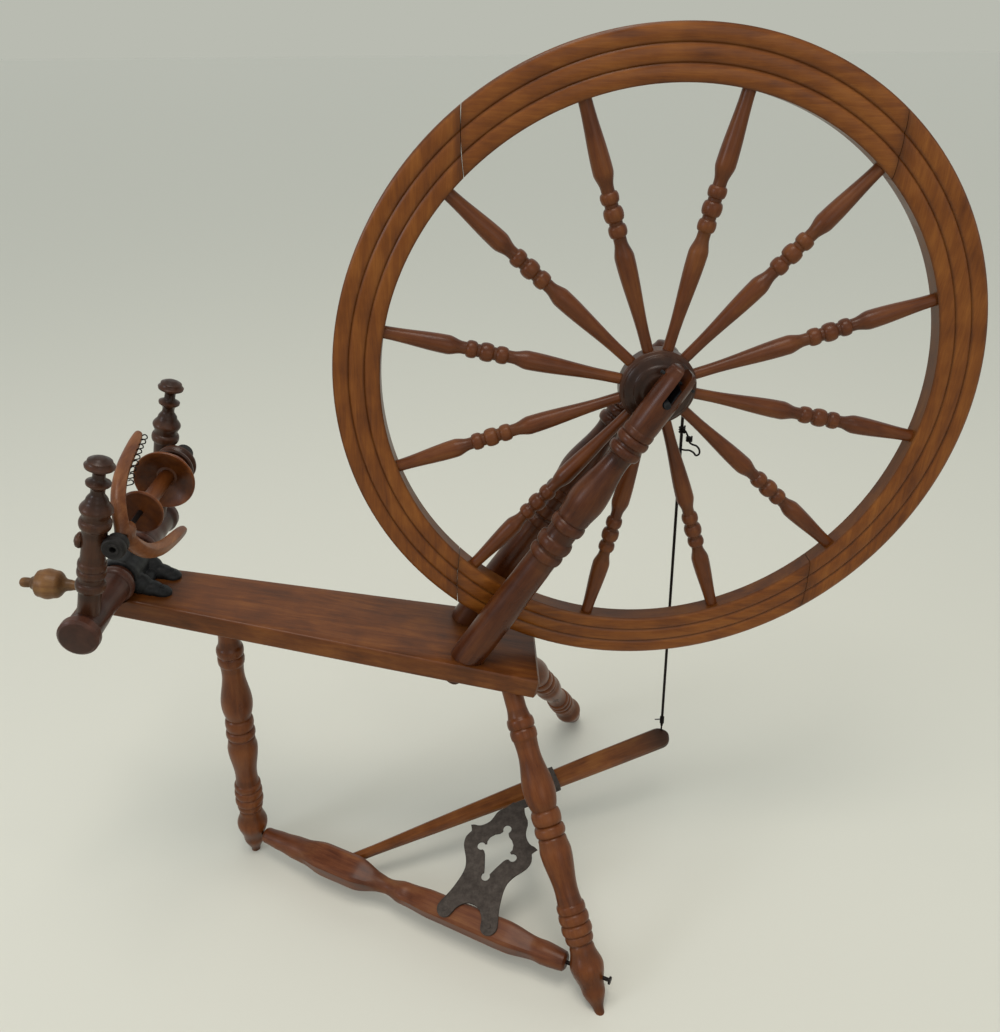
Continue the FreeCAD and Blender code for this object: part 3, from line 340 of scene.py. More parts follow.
def ribbon(name, line, wide, deep, across, material, soft=0.7):
    # a flat bar bent along the line, its edges broken; wide lies along across; sizes in millimetres
    points = []
    for i, p in enumerate(line):
        way = wayAlong(line, i)
        side = (across - way * across.dot(way)).normalized()
        up = way.cross(side)
        w = (wide[0] + (wide[1] - wide[0]) * i / (len(line) - 1)) / 2
        points += [p + (side * x + up * z) * mm for x, z in barSection(w, deep / 2, soft)]
    return pieceFrom(name, points, tubeFaces(len(line), 8), material, 30)


def lump(centre, ways, reach, rings=14, around=24):
    # an egg round its centre, with its reach in millimetres along each of the three ways, as points and faces
    points = []
    for i in range(1, rings):
        polar = math.pi * i / rings
        for k in range(around):
            a = 2 * math.pi * k / around
            spot = (math.sin(polar) * math.cos(a), math.sin(polar) * math.sin(a), math.cos(polar))
            points.append(centre + sum((w * q * r * mm for w, q, r in zip(ways, spot, reach)), Vector()))
    points += [centre + ways[2] * reach[2] * mm, centre - ways[2] * reach[2] * mm]
    low, last = (rings - 2) * around, len(points) - 1
    faces = tubeFaces(rings - 1, around, capped=False)
    faces += [(last - 1, (k + 1) % around, k) for k in range(around)]
    faces += [(last, low + k, low + (k + 1) % around) for k in range(around)]
    return points, faces


def melted(name, parts, grain, rounds, material):
    # overlapping closed shapes run together to one skin, as cast or carved from one piece
    points, faces = [], []
    for morePoints, moreFaces in parts:
        faces += [tuple(i + len(points) for i in face) for face in moreFaces]
        points += morePoints
    thing = pieceFrom(name, points, faces, material)
    skin = thing.modifiers.new("skin", "REMESH")
    skin.mode = "VOXEL"
    skin.voxel_size = grain * mm
    soften = thing.modifiers.new("soften", "SMOOTH")
    soften.factor = 0.5
    soften.iterations = rounds
    applyModifiers(thing)
    shade(thing.data, 60)
    return thing


# Woods: dark, middle and light tone, gloss, how even the streaks are, and the darker colour laid where the hollow
# mark lies, in coves and as painted shade
woods = {
    # planed birch under brown varnish: a flat satin board, its broad figure showing through
    "varnishedBirchTable": {"dark": "3F1F07", "middle": "5F320F", "light": "79471B", "rough": 0.34,
                            "streak": 0.5,
                            "hollow": "1F0E04"},
    # birch felloes under honey varnish: the brightest wood, glossy on the crowns of the bands
    "varnishedBirchRim": {"dark": "4E2509", "middle": "723E10", "light": "8C541D", "rough": 0.34,
                          "streak": 0.45,
                          "hollow": "261104"},
    # turned birch under an even brown varnish: smooth, with soft highlights along the bellies
    "turnedBirchSpokes": {"dark": "3F1B07", "middle": "5E3011", "light": "76451B", "rough": 0.36, "streak": 0.4,
                          "hollow": "1F0C04"},
    # turned beech stained red-brown: close pores, satin on the bellies, dark in the coves
    "stainedBeechLegs": {"dark": "3F1B09", "middle": "643310", "light": "7A4721", "rough": 0.33, "streak": 0.4,
                         "hollow": "200C04"},
    # the same beech with a heavier coat: nearly black in its coves
    "stainedBeechPosts": {"dark": "280D04", "middle": "49230C", "light": "613616", "rough": 0.3, "streak": 0.4,
                          "hollow": "160702"},
    # knife-shaped beech, stained red and rubbed by feet: duller than the turned legs
    "carvedBeechRail": {"dark": "401B0B", "middle": "63351B", "light": "7A4C29", "rough": 0.42, "streak": 0.5,
                        "hollow": "230D04"},
    # planed birch bar, varnished and worn
    "planedBirchArm": {"dark": "472306", "middle": "6B3A11", "light": "845321", "rough": 0.38, "streak": 0.5,
                       "hollow": "180C06"},
    # turned maple stained maroon: a dull purple brown
    "maroonStainedBar": {"dark": "2A170E", "middle": "46281D", "light": "5D392A", "rough": 0.36, "streak": 0.35,
                         "hollow": "170C07"},
    # turned maple stained near black-brown: brown only on the crowns of the beads
    "darkStainedMaple": {"dark": "221108", "middle": "3F2314", "light": "563620", "rough": 0.34, "streak": 0.35,
                         "hollow": "110704"},
    # turned maple worn pale by the hand
    "wornMapleHandle": {"dark": "50351B", "middle": "704C2B", "light": "886339", "rough": 0.42, "streak": 0.5,
                        "hollow": "2A1B0C"},
    # carved and turned beech, thinly varnished: rosy brown
    "oiledBeechFlyer": {"dark": "4D2513", "middle": "704325", "light": "895B38", "rough": 0.4, "streak": 0.5,
                        "hollow": "281207"},
    # turned beech dish, varnished orange brown and dark at its root
    "varnishedBeechDish": {"dark": "3F1B07", "middle": "62320E", "light": "7A4519", "rough": 0.36,
                           "streak": 0.5,
                           "hollow": "1D0A03"},
}


def newMaterial(name):
    material = bpy.data.materials.new(name)
    material.use_nodes = True
    material.node_tree.nodes.clear()
    return material


def rampNode(tree, source, stops):
    # the two end stops come first
    ramp = addNode(tree, "ShaderNodeValToRGB", None, Fac=source)
    for i, (place, colour) in enumerate(stops):
        stop = ramp.color_ramp.elements[i] if i < 2 else ramp.color_ramp.elements.new(place)
        stop.position = place
        stop.color = linearColour(colour)
    return ramp.outputs["Color"]


def woodMaterial(name, look):
    # close-grained hardwood: fine straight pores along the grain, soft broad streaks, satin gloss
    material = newMaterial(name)
    tree = material.node_tree
    place = addNode(tree, "ShaderNodeAttribute", {"attribute_name": "grain"}).outputs["Vector"]
    # broad streaks about 12 mm apart and 110 mm long
    broadPlace = addNode(tree, "ShaderNodeMapping", {"Scale": (80, 80, 9)}, Vector=place)
    broad = addNode(tree, "ShaderNodeTexNoise", {"Scale": 1.0, "Detail": 4.0, "Roughness": 0.6,
                                                 "Distortion": 0.6}, Vector=broadPlace.outputs["Vector"])
    # pores about 1 mm apart and 20 mm long
    porePlace = addNode(tree, "ShaderNodeMapping", {"Scale": (900, 900, 45)}, Vector=place)
    pores = addNode(tree, "ShaderNodeTexNoise", {"Scale": 1.0, "Detail": 3.0, "Roughness": 0.55},
                    Vector=porePlace.outputs["Vector"])
    # handled and faded patches about 45 mm across
    patches = addNode(tree, "ShaderNodeTexNoise", {"Scale": 22.0, "Detail": 3.0, "Roughness": 0.55},
                      Vector=place)
    mixed = addNode(tree, "ShaderNodeMix", {"data_type": "FLOAT", 0: 0.28}, i2=broad.outputs["Fac"],
                    i3=pores.outputs["Fac"])
    toned = addNode(tree, "ShaderNodeMix", {"data_type": "FLOAT", 0: 0.35}, i2=mixed.outputs[0],
                    i3=patches.outputs["Fac"])
    spread = 0.08 / look["streak"]
    colour = rampNode(tree, toned.outputs[0], [(0.5 - spread, look["dark"]), (0.5 + spread, look["light"]),
                                               (0.5, look["middle"])])
    # darker in the coves and necks, by the hollow mark; the board, the rim and the fork also carry painted shade
    # in that mark
    hollow = addNode(tree, "ShaderNodeAttribute", {"attribute_name": "hollow"})
    strength = addNode(tree, "ShaderNodeMath", {"operation": "MULTIPLY", 1: 0.55}, i0=hollow.outputs["Fac"])
    darker = addNode(tree, "ShaderNodeMix", {"data_type": "RGBA", 7: linearColour(look["hollow"])},
                     i0=strength.outputs[0], i6=colour)
    gloss = addNode(tree, "ShaderNodeMapRange", {"From Min": 0.3, "From Max": 0.7,
                                                 "To Min": look["rough"] - 0.06,
                                                 "To Max": look["rough"] + 0.12},
                    Value=patches.outputs["Fac"])
    bump = addNode(tree, "ShaderNodeBump", {"Strength": 0.25, "Distance": 0.0004},
                   Height=pores.outputs["Fac"])
    surface = addNode(tree, "ShaderNodeBsdfPrincipled", {"IOR": 1.5, "Coat Weight": 0.1, "Coat Roughness": 0.2,
                                                         "Specular IOR Level": 0.22},
                      Base_Color=darker.outputs[2], Roughness=gloss.outputs["Result"],
                      Normal=bump.outputs["Normal"])
    addNode(tree, "ShaderNodeOutputMaterial", None, Surface=surface.outputs["BSDF"])
    return material


# Irons and leather: dark and light tone, gloss, and how far it shines as metal does
irons = {
    # forged iron under black scale and oil: dull black with a grey bloom
    "forgedBlackIron": ("151517", "303133", 0.5, 0.4),
    # cut iron plate, brown-grey with old rust: almost matt
    "rustedIronPlate": ("39332F", "4F4843", 0.62, 0.35),
    # drawn iron wire, blackened: thin and dark with a slight glint
    "drawnIronWire": ("100C0B", "241D1B", 0.45, 0.5),
    # cast iron, painted black: soft sheen over a lumpy skin
    "blackCastIron": ("171718", "2B2C2D", 0.46, 0.2),
    # oiled harness leather, pressed into a ring: matt black
    "pressedBlackLeather": ("141211", "242120", 0.55, 0.0),
}


def ironMaterial(name, dark, light, rough, metallic):
    # black metal or leather: dull, faintly mottled and pitted
    material = newMaterial(name)
    tree = material.node_tree
    coords = addNode(tree, "ShaderNodeTexCoord")
    # mottling about 8 mm across and pitting about 1.2 mm across
    mottle = addNode(tree, "ShaderNodeTexNoise", {"Scale": 120.0, "Detail": 5.0, "Roughness": 0.65},
                     Vector=coords.outputs["Object"])
    pits = addNode(tree, "ShaderNodeTexNoise", {"Scale": 800.0, "Detail": 2.0}, Vector=coords.outputs["Object"])
    colour = rampNode(tree, mottle.outputs["Fac"], [(0.35, dark), (0.68, light)])
    bump = addNode(tree, "ShaderNodeBump", {"Strength": 0.3, "Distance": 0.0004}, Height=pits.outputs["Fac"])
    surface = addNode(tree, "ShaderNodeBsdfPrincipled", {"Metallic": metallic, "Roughness": rough,
                                                         "Specular IOR Level": 0.2},
                      Base_Color=colour, Normal=bump.outputs["Normal"])
    addNode(tree, "ShaderNodeOutputMaterial", None, Surface=surface.outputs["BSDF"])
    return material


finish = {name: woodMaterial(name, look) for name, look in woods.items()}
finish.update({name: ironMaterial(name, *look) for name, look in irons.items()})
print("materials", len(finish))

# Where things stand, in millimetres and degrees
stance = {"slope": 12.8, "endX": -114.6, "endZ": 491.5, "length": 555, "thick": 28, "postIn": 95.7,
          "lean": 33, "axleUp": 418.6, "headLean": 2.8}
slope = math.radians(stance["slope"])
alongWay = Vector((math.cos(slope), 0, -math.sin(slope)))
upWay = Vector((math.sin(slope), 0, math.cos(slope)))
backWay = Vector((0, 1, 0))
tableEnd = Vector((stance["endX"], 0, stance["endZ"])) * mm
axle = jointAt("wheel_spin")
onTable = placesFrom(tableEnd, alongWay, backWay, upWay)

boardShape = {"left": 82, "right": 152, "edge": 3.2, "rows": 74, "bunch": 0.09, "throat": 21.2,
              "coves": [(-50, -30), (46, 58)], "coveRadius": 25.6,
              # where rows of points lie on each face, as shares of the way across it
              "sides": (0.35, 0.5, 0.65), "under": (0.2, 0.4, 0.6, 0.8),
              "top": (0.1, 0.2, 0.3, 0.4, 0.5, 0.6, 0.7, 0.8, 0.9),
              # painted shade round the posts, where the wheel's shadow lies, and under the bar, and a darker low
              # end: where each begins, its run and its strength
              "posts": (459, 44), "postShade": (20, 16, 0.9), "lowEndDark": (0, 26, 0.8), "barShade": (62, 30, 0.7)}


def buildBoard():
    # a tapered board with softened edges, hollowed at its high end for the bar
    length, thick, edge = stance["length"], stance["thick"], boardShape["edge"]
    points = []
    for i in range(boardShape["rows"] + 1):
        # the rows lie close together at the two ends, where the edge turns over
        t = i / boardShape["rows"]
        at = length * (t - math.sin(2 * math.pi * t) * boardShape["bunch"])
        half = (boardShape["left"] + (boardShape["right"] - boardShape["left"]) * at / length) / 2
        pull = edge * (1 - math.sqrt(max(0.0, 1 - max(0.0, 1 - min(at, length - at) / edge) ** 2)))
        h, low, high = half - pull, -thick + pull, -pull
        corners = [(h, high, 90, "sides"), (h, low, 0, "under"), (-h, low, -90, "sides"),
                   (-h, high, -180, "top")]
        section = []
        for (x, z, turn, face), (nextX, nextZ, *others) in zip(corners, corners[1:] + corners[:1]):
            inX, inZ = x - math.copysign(edge, x), z - (edge if z == high else -edge)
            for a in (0, 22.5, 45, 67.5, 90):
                b = math.radians(turn) - math.radians(a)
                section.append((inX + edge * math.cos(b), inZ + edge * math.sin(b)))
            section += [(x + (nextX - x) * q, z + (nextZ - z) * q) for q in boardShape[face]]
        points += [onTable(at, side, up) for side, up in section]
    board = pieceFrom("board", points, tubeFaces(boardShape["rows"] + 1, len(section)),
                      finish["varnishedBirchTable"])
    seat = frameAt(jointAt("head_tilt"), jointWay("head_tilt"))
    cutters = [prism(circlePoints(boardShape["throat"], 48), seat, -90, 90)]
    cutters += [prism(circlePoints(boardShape["coveRadius"], 48), seat, a, b) for a, b in boardShape["coves"]]
    carve(board, cutters, 40)
    grains, wearAndShade = [], []
    for vertex in board.data.vertices:
        away = vertex.co - tableEnd
        at, side, up = (away.dot(way) / mm for way in (alongWay, backWay, upWay))
        grains.append(Vector((side, up, at)) * mm)
        # painted shade round the posts' feet, where the wheel's shadow lies, and under the bar; the low end is
        # darker too
        post = math.hypot(at - boardShape["posts"][0], abs(side) - boardShape["posts"][1])
        dirtAndShade = max(fade(post, *boardShape["postShade"]), fade(length - at, *boardShape["lowEndDark"]),
                   fade(at, *boardShape["barShade"]))
        # this darkening is laid stronger on the top face than on the sides and underside: painted shade
        wearAndShade.append(min(1.0, dirtAndShade) * (0.75 if up > -2 else 0.45))
    storeGrain(board.data, grains, wearAndShade)
    return board


onBody(buildBoard(), "stand", "table_wood", "table")

legShape = {"into": 0.4, "stations": [
    (-12, 7, "k"), (0, 13, "s"), (28, 30.6, "s"), (58, 44, "s"), (80, 33, "s"), (87, 29, "k"), (94, 37, "b"),
    (99, 34, "k"), (105, 40.5, "b"), (113, 34.5, "k"), (120, 40, "b"), (127, 34.5, "k"), (133, 38, "b"),
    (139, 33, "k"), (155, 31, "s"), (206, 42, "s"), (221, 38, "s"), (226, 33.5, "k"), (233, 41, "b"),
    (241, 33, "k"), (251, 39.5, "b"), (261, 33, "k"), (287, 43, "s"), (337, 30, "s"), (354, 32, "k"),
    (362, 36, "b"), (369, 32, "k"), (376, 36.5, "b"), (384, 31, "k"), (400, 26.5, "s"), (470, 26, "k")]}
# each foot's place on the floor in metres, then where its leg meets the table: station and side in millimetres
feet = {"left_leg": ((0, 0), (140, 0)), "front_leg": ((0.493, -0.28), (521, -45)),
        "rear_leg": ((0.522, 0.28), (521, 45))}
floorCut = (Vector((0, 0, 0)), Vector((0, 0, -1)))
for turn, (node, (spot, meet)) in enumerate(feet.items()):
    foot, top = Vector((*spot, 0)), onTable(*meet, -stance["thick"])
    leg = lathe(node + "_turned", legShape["stations"], frameAt(foot, top - foot),
                finish["stainedBeechLegs"], 56,
                turn * 0.31 + 0.2, [floorCut, (onTable(0, 0, legShape["into"] - stance["thick"]), upWay)])
    onBody(leg, "stand", "turned_red_wood", node)
print("legs")

postShape = {"side": 44, "slotHalf": 5.3, "slotTop": 500, "tenonDown": 42.5,
             "tenon": [(0, 23, "k"), (2, 25.5, "k"), (22, 25.5, "k")], "stations": [
    (-9, 41, "k"), (2, 43, "s"), (60, 42.5, "s"), (150, 39, "s"), (172, 38, "s"), (176, 38, "k"),
    (183, 43.5, "b"),
    (190, 37, "k"), (192, 37, "k"), (201, 45, "b"), (210, 37, "k"), (215, 36.5, "s"), (222, 37, "k"),
    (230, 44, "b"), (237, 38, "k"), (243, 41, "s"), (268, 46, "s"), (330, 30, "s"), (338, 32, "k"),
    (345, 40.5, "b"), (351, 34, "k"), (354, 34, "k"), (360, 40.5, "b"), (366, 35, "k"), (371, 38.5, "b"),
    (376, 36, "k"), (384, 37, "s"), (446, 36.5, "s"), (455, 33, "s"), (460, 20, "k")]}
lean = math.radians(stance["lean"])
postWay = Vector((math.sin(lean), 0, math.cos(lean)))
for turn, (node, side) in enumerate((("front_post", -1), ("rear_post", 1))):
    foot = onTable(stance["length"] - stance["postIn"], side * postShape["side"], 0)
    # the slot's outline in the plane across the axle
    half, up, top = postShape["slotHalf"], stance["axleUp"], postShape["slotTop"]
    rounds = [(half * math.cos(a), up + half * math.sin(a))
              for a in (math.pi + math.pi * i / 12 for i in range(13))]
    acrossSeat = frameAt(foot, backWay, Vector((math.cos(lean), 0, -math.sin(lean))))
    flip = -1 if (acrossSeat.to_3x3() @ Vector((0, 1, 0))).dot(postWay) < 0 else 1
    slot = prism([(x, flip * z) for x, z in rounds + [(half, top), (-half, top)]], acrossSeat, -60, 60)
    post = lathe(node + "_turned", postShape["stations"], frameAt(foot, postWay),
                 finish["stainedBeechPosts"], 64,
                 turn * 0.4 + 1.3, [(onTable(0, 0, 0.3), -upWay)], [slot])
    onBody(post, "stand", "turned_red_wood", node)
    tenonFoot = foot - postWay * (postShape["tenonDown"] * mm)
    tenon = lathe(node + "_tenon", postShape["tenon"], frameAt(tenonFoot, postWay),
                  finish["darkStainedMaple"], 40,
                  turn * 0.4 + 2.1)
    onBody(tenon, "stand", "turned_red_wood")
print("posts")

rimShape = {"outer": 375, "inner": 321, "half": 13, "bands": 3, "bandWidth": 18, "bandDepth": 2.6,
            "bandRows": 8,
            # the shallow track round the outside: how deep, and how far out from the middle
            "track": [(0.6, 8), (3, 5), (3, -5), (0.6, -8)],
            # each joint's angle at the outside and at the inside: the felloes are cut nearly upright
            "joints": [(126.2, 133.3), (52.0, 45.0), (-55.5, -48.0), (-129.7, -137.2)], "gap": 0.4,
            "pieces": 60,
            # painted shade along the grooves: where it begins, its run and its strength
            "grooveShade": (0, 2.2, 0.9)}
wheelSeat = Matrix.Translation(axle) @ Matrix.Rotation(math.radians(-90), 4, "X")


def rimSection():
    # three rounded bands on each face, with a shallow track round the outside
    outer, half, deep, wide = (rimShape[k] for k in ("outer", "half", "bandDepth", "bandWidth"))
    face = []
    for band in range(rimShape["bands"]):
        low = rimShape["inner"] + wide * band
        for i in range(rimShape["bandRows"]):
            t = i / rimShape["bandRows"]
            lift = math.sqrt(max(0.0, 1 - (2 * t - 1) ** 2)) ** 0.75
            face.append((low + wide * t, half - deep + deep * lift))
    face.append((outer, half - deep))
    track = [(outer - down, z) for down, z in rimShape["track"]]
    return face + track + [(r, -z) for r, z in reversed(face)]


def jointAngle(joint, r):
    outside, inside = joint
    share = (rimShape["outer"] - r) / (rimShape["outer"] - rimShape["inner"])
    return math.radians(outside + (inside - outside) * share)


def buildRim():
    section = rimSection()
    grooves = [rimShape["inner"] + rimShape["bandWidth"] * k for k in range(rimShape["bands"] + 1)]
    cuts, steps = rimShape["joints"], rimShape["pieces"]
    points, grains, wearAndShade, faces = [], [], [], []
    for piece, begin in enumerate(cuts):
        last = cuts[(piece + 1) % len(cuts)]
        lap = 2 * math.pi if piece == len(cuts) - 1 else 0
        middle = math.radians(sum(begin + last) / 4) - lap / 2
        faces += tubeFaces(steps + 1, len(section), first=len(points))
        for i in range(steps + 1):
            for r, z in section:
                slip = rimShape["gap"] / r * ((i == steps) - (i == 0))
                high, low = jointAngle(begin, r), jointAngle(last, r) - lap
                a = high + (low - high) * i / steps + slip
                x, y = r * math.cos(a), r * math.sin(a)
                points.append(wheelSeat @ (Vector((x, -y, z)) * mm))
                chord = -x * math.sin(middle) + y * math.cos(middle)
                radial = x * math.cos(middle) + y * math.sin(middle)
                grains.append(Vector((radial, z, chord)) * mm + Vector((piece * 0.37, 0.2, piece * 0.9)))
                # painted shade along the grooves between the bands and along the inner and outer edges
                edge = min(abs(r - groove) for groove in grooves)
                # the joints are dark too
                dirtAndShade = max(0.0, 1 - min(i, steps - i) * 0.8) * 0.8
                wearAndShade.append(max(fade(edge, *rimShape["grooveShade"]), dirtAndShade))
    mesh = meshFrom("rim", points, faces)
    storeGrain(mesh, grains, wearAndShade)
    shade(mesh, 35)
    return newObject("rim", mesh, finish["varnishedBirchRim"])


onBody(buildRim(), "drive_wheel", "honey_wood", "felloe_1", "felloe_2", "felloe_3", "felloe_4")

spokeShape = {"count": 12, "first": 107.56, "stations": [
    (34, 13, "s"), (60, 13.2, "s"), (155, 22, "s"), (173, 14.5, "s"), (178, 14.5, "k"), (185, 20.5, "b"),
    (192, 15, "k"), (195, 15, "k"), (203, 22, "b"), (211, 15, "k"), (214, 15, "k"), (221, 20.5, "b"),
    (227, 14.5, "k"), (231, 14.5, "s"), (248, 22, "s"), (322, 14.5, "s"), (330, 14.5, "k")]}


def newTree(name, **inputs):
    # a geometry node tree with the inputs given by name and kind, and the sockets those inputs come from
    tree = bpy.data.node_groups.new(name, "GeometryNodeTree")
    for label, kind in inputs.items():
        tree.interface.new_socket(name=label.replace("_", " "), in_out="INPUT", socket_type="NodeSocket" + kind)
    tree.interface.new_socket(name="Geometry", in_out="OUTPUT", socket_type="NodeSocketGeometry")
    return tree, addNode(tree, "NodeGroupInput").outputs


def copiesTree(name, material, turnShift):
    # copies of a piece along a line of places, each turned by a further step and given its own run of grain
    tree, given = newTree(name, Geometry="Geometry", Count="Int", Start="Vector", Step="Vector",
                          First_Turn="Vector", Turn_Step="Vector")
    spots = addNode(tree, "GeometryNodeMeshLine", {"mode": "OFFSET"}, Count=given["Count"],
                    Start_Location=given["Start"], Offset=given["Step"])
    index = addNode(tree, "GeometryNodeInputIndex").outputs[0]
    steps = addNode(tree, "ShaderNodeVectorMath", {"operation": "SCALE"}, i0=given["Turn Step"], Scale=index)
    turn = addNode(tree, "ShaderNodeVectorMath", {"operation": "ADD"}, i0=steps.outputs[0],
                   i1=given["First Turn"])
    placed = addNode(tree, "GeometryNodeInstanceOnPoints", None, Points=spots.outputs[0],
                     Instance=given["Geometry"], Rotation=turn.outputs[0])
    tagged = addNode(tree, "GeometryNodeStoreNamedAttribute", {"data_type": "FLOAT", "domain": "INSTANCE",
                                                               "Name": "copy"},
                     Geometry=placed.outputs[0], Value=index)
    solid = addNode(tree, "GeometryNodeRealizeInstances", None, Geometry=tagged.outputs[0])
    copy = addNode(tree, "GeometryNodeInputNamedAttribute", {"data_type": "FLOAT", "Name": "copy"})
    grain = addNode(tree, "GeometryNodeInputNamedAttribute", {"data_type": "FLOAT_VECTOR", "Name": "grain"})
    shift = addNode(tree, "ShaderNodeVectorMath", {"operation": "SCALE", 0: turnShift},
                    Scale=copy.outputs["Attribute"])
    moved = addNode(tree, "ShaderNodeVectorMath", {"operation": "ADD"}, i0=grain.outputs["Attribute"],
                    i1=shift.outputs[0])
    stored = addNode(tree, "GeometryNodeStoreNamedAttribute", {"data_type": "FLOAT_VECTOR", "domain": "POINT",
                                                               "Name": "grain"},
                     Geometry=solid.outputs[0], Value=moved.outputs[0])
    painted = addNode(tree, "GeometryNodeSetMaterial", {"Material": material}, Geometry=stored.outputs[0])
    addNode(tree, "NodeGroupOutput", None, i0=painted.outputs[0])
    return tree


def runTree(source, tree, values, name, material):
    modifier = source.modifiers.new("copies", "NODES")
    modifier.node_group = tree
    for item in tree.interface.items_tree:
        if item.item_type == "SOCKET" and item.in_out == "INPUT" and item.name in values:
            modifier[item.identifier] = values[item.name]
    mesh = evaluated(source, True)
    bpy.data.objects.remove(source)
    mesh.name = name
    return newObject(name, mesh, material)


oneSpoke = lathe("oneSpoke", spokeShape["stations"], Matrix.Identity(4), finish["turnedBirchSpokes"], 26, 0.5)
spokes = runTree(oneSpoke, copiesTree("spokesRound", finish["turnedBirchSpokes"], (0.23, 0.41, 0.77)),
                 {"Count": spokeShape["count"], "Start": tuple(axle), "Step": (0.0, 0.0, 0.0),
                  "First Turn": (0.0, math.radians(90 - spokeShape["first"]), 0.0),
                  "Turn Step": (0.0, -2 * math.pi / spokeShape["count"], 0.0)}, "spokes",
                  finish["turnedBirchSpokes"])
onBody(spokes, "drive_wheel", "spoke_wood", *["spoke_%02d" % (i + 1) for i in range(12)])

hubShape = {"stations": [
    (-23, 26, "k"), (-22, 40, "s"), (-20, 58, "k"), (-19, 60, "s"), (-13, 80, "s"), (-10, 84, "k"),
    (-8, 90, "s"), (8, 90, "s"), (10, 84, "k"), (13, 80, "s"), (19, 62, "s"), (20, 58, "k"), (22, 42, "s"),
    (23, 26, "k")]}
onBody(lathe("hub_turned", hubShape["stations"], wheelSeat, finish["darkStainedMaple"], 80, 3.1), "drive_wheel",
       "dark_wood", "hub")
print("drive wheel")

railShape = {"tilt": 17.7, "gap": 24, "stations": [
    (0, 20, "k"), (4, 23, "s"), (30, 27, "s"), (62, 33, "s"), (110, 48, "s"), (160, 48, "s"), (216, 21.5, "s"),
    (247, 33, "s"), (288, 39, "s"), (400, 42, "s"), (447, 31, "s"), (485, 25, "k"), (488, 18, "k")],
    "facets": [(84, 190), (250, 440)], "facetRun": 14, "flat": 0.815}
railWay = jointWay("treadle_rock")
levelWay = Vector((0, 0, 1)).cross(railWay).normalized()
tilt = math.radians(railShape["tilt"])
uphill = levelWay * math.cos(tilt) + Vector((0, 0, 1)) * math.sin(tilt)
liftWay = railWay.cross(uphill)
onTreadle = placesFrom(jointAt("treadle_rock"), railWay, uphill, liftWay)


def facetShare(z):
    share, run = 0.0, railShape["facetRun"]
    for low, high in railShape["facets"]:
        share = max(share, min(1.0, max(0.0, ((high - low) / 2 + run - abs(z - (low + high) / 2)) / run)))
    return share


rail = lathe("rail_turned", railShape["stations"], frameAt(onTreadle(railShape["gap"], 0, 0), railWay, liftWay),
             finish["carvedBeechRail"], 64, 4.4, [], [], facetShare, 24)
onBody(rail, "treadle", "turned_red_wood", "treadle_rail")

armShape = {"station": 171, "start": 17.6, "angle": 44.07, "thick": 13, "bevel": 3.2,
            "widths": [(-2, 13), (30, 13), (120, 19), (250, 26), (400, 31), (480, 32)],
            "rows": (-2, 10, 30, 60, 90, 120, 180, 250, 325, 400, 460, 488),
            # the round end: its radius, the turns at which its rows lie, and how far its faces sink
            "tip": 16, "tipTurns": (18, 36, 52, 66, 78), "tipSink": 2.2,
            # the wire's hole: its narrowest width, how fast it widens, where its rows lie, and its lean, which is
            # halfway between the footman's directions at the treadle's two limits
            "holeDia": 3.6, "holeFlare": 0.32, "holeRows": (-18, 0, 10), "holeLean": -7.4,
            # where the black of the end begins and over how much it deepens, in metres
            "stain": (0.44, 0.03)}
footmanEye = (0.6141, 0.079, 0.7103)
armTurn = math.radians(armShape["angle"])
armWay = railWay * math.cos(armTurn) + uphill * math.sin(armTurn)
armSide = uphill * math.cos(armTurn) - railWay * math.sin(armTurn)
armStart = onTreadle(armShape["station"], armShape["start"], 0)
onArm = placesFrom(armStart, armWay, armSide, liftWay)
footHole = jointAt("footman_swing")
holeWay = (Matrix.Rotation(math.radians(armShape["holeLean"]), 3, jointWay("footman_swing"))
           @ (Vector(footmanEye) - footHole)).normalized()


def armWidth(at):
    rows = armShape["widths"]
    for (a, wa), (b, wb) in zip(rows, rows[1:]):
        if a <= at <= b:
            return wa + (wb - wa) * (at - a) / (b - a)
    return rows[-1][1] if at > rows[-1][0] else rows[0][1]


def buildArm():
    half, tip = armShape["thick"] / 2, armShape["tip"]
    rows = [(at, armWidth(at) / 2, half) for at in armShape["rows"]]
    for a in (math.radians(degrees) for degrees in armShape["tipTurns"]):
        rows.append((armShape["rows"][-1] + tip * math.sin(a), tip * math.cos(a),
                     half - armShape["tipSink"] * (1 - math.cos(a))))
    points = []
    for at, w, deep in rows:
        points += [onArm(at, side, lift) for side,
                   lift in barSection(w, deep, min(armShape["bevel"], w * 0.45))]
    thing = pieceFrom("arm", points, tubeFaces(len(rows), 8), finish["planedBirchArm"])
    # the hole widens both ways from its narrowest place, so the wire can swing in it
    drillRows = [(z, armShape["holeDia"] / 2 + abs(z) * armShape["holeFlare"]) for z in armShape["holeRows"]]
    drill = linked("drill", meshFrom("drill", *sweepRound(drillRows, 24, frameAt(footHole, holeWay))))
    carve(thing, [drill], 25)
    grains = []
    for vertex in thing.data.vertices:
        away = vertex.co - armStart
        grains.append(Vector((away.dot(armSide), away.dot(liftWay), away.dot(armWay))))
    # the end is black with handling and iron stain
    start, run = armShape["stain"]
    storeGrain(thing.data, grains, [min(1.5, max(0.0, (g.z - start) / run)) for g in grains])
    return thing


onBody(buildArm(), "treadle", "honey_wood", "treadle_arm")

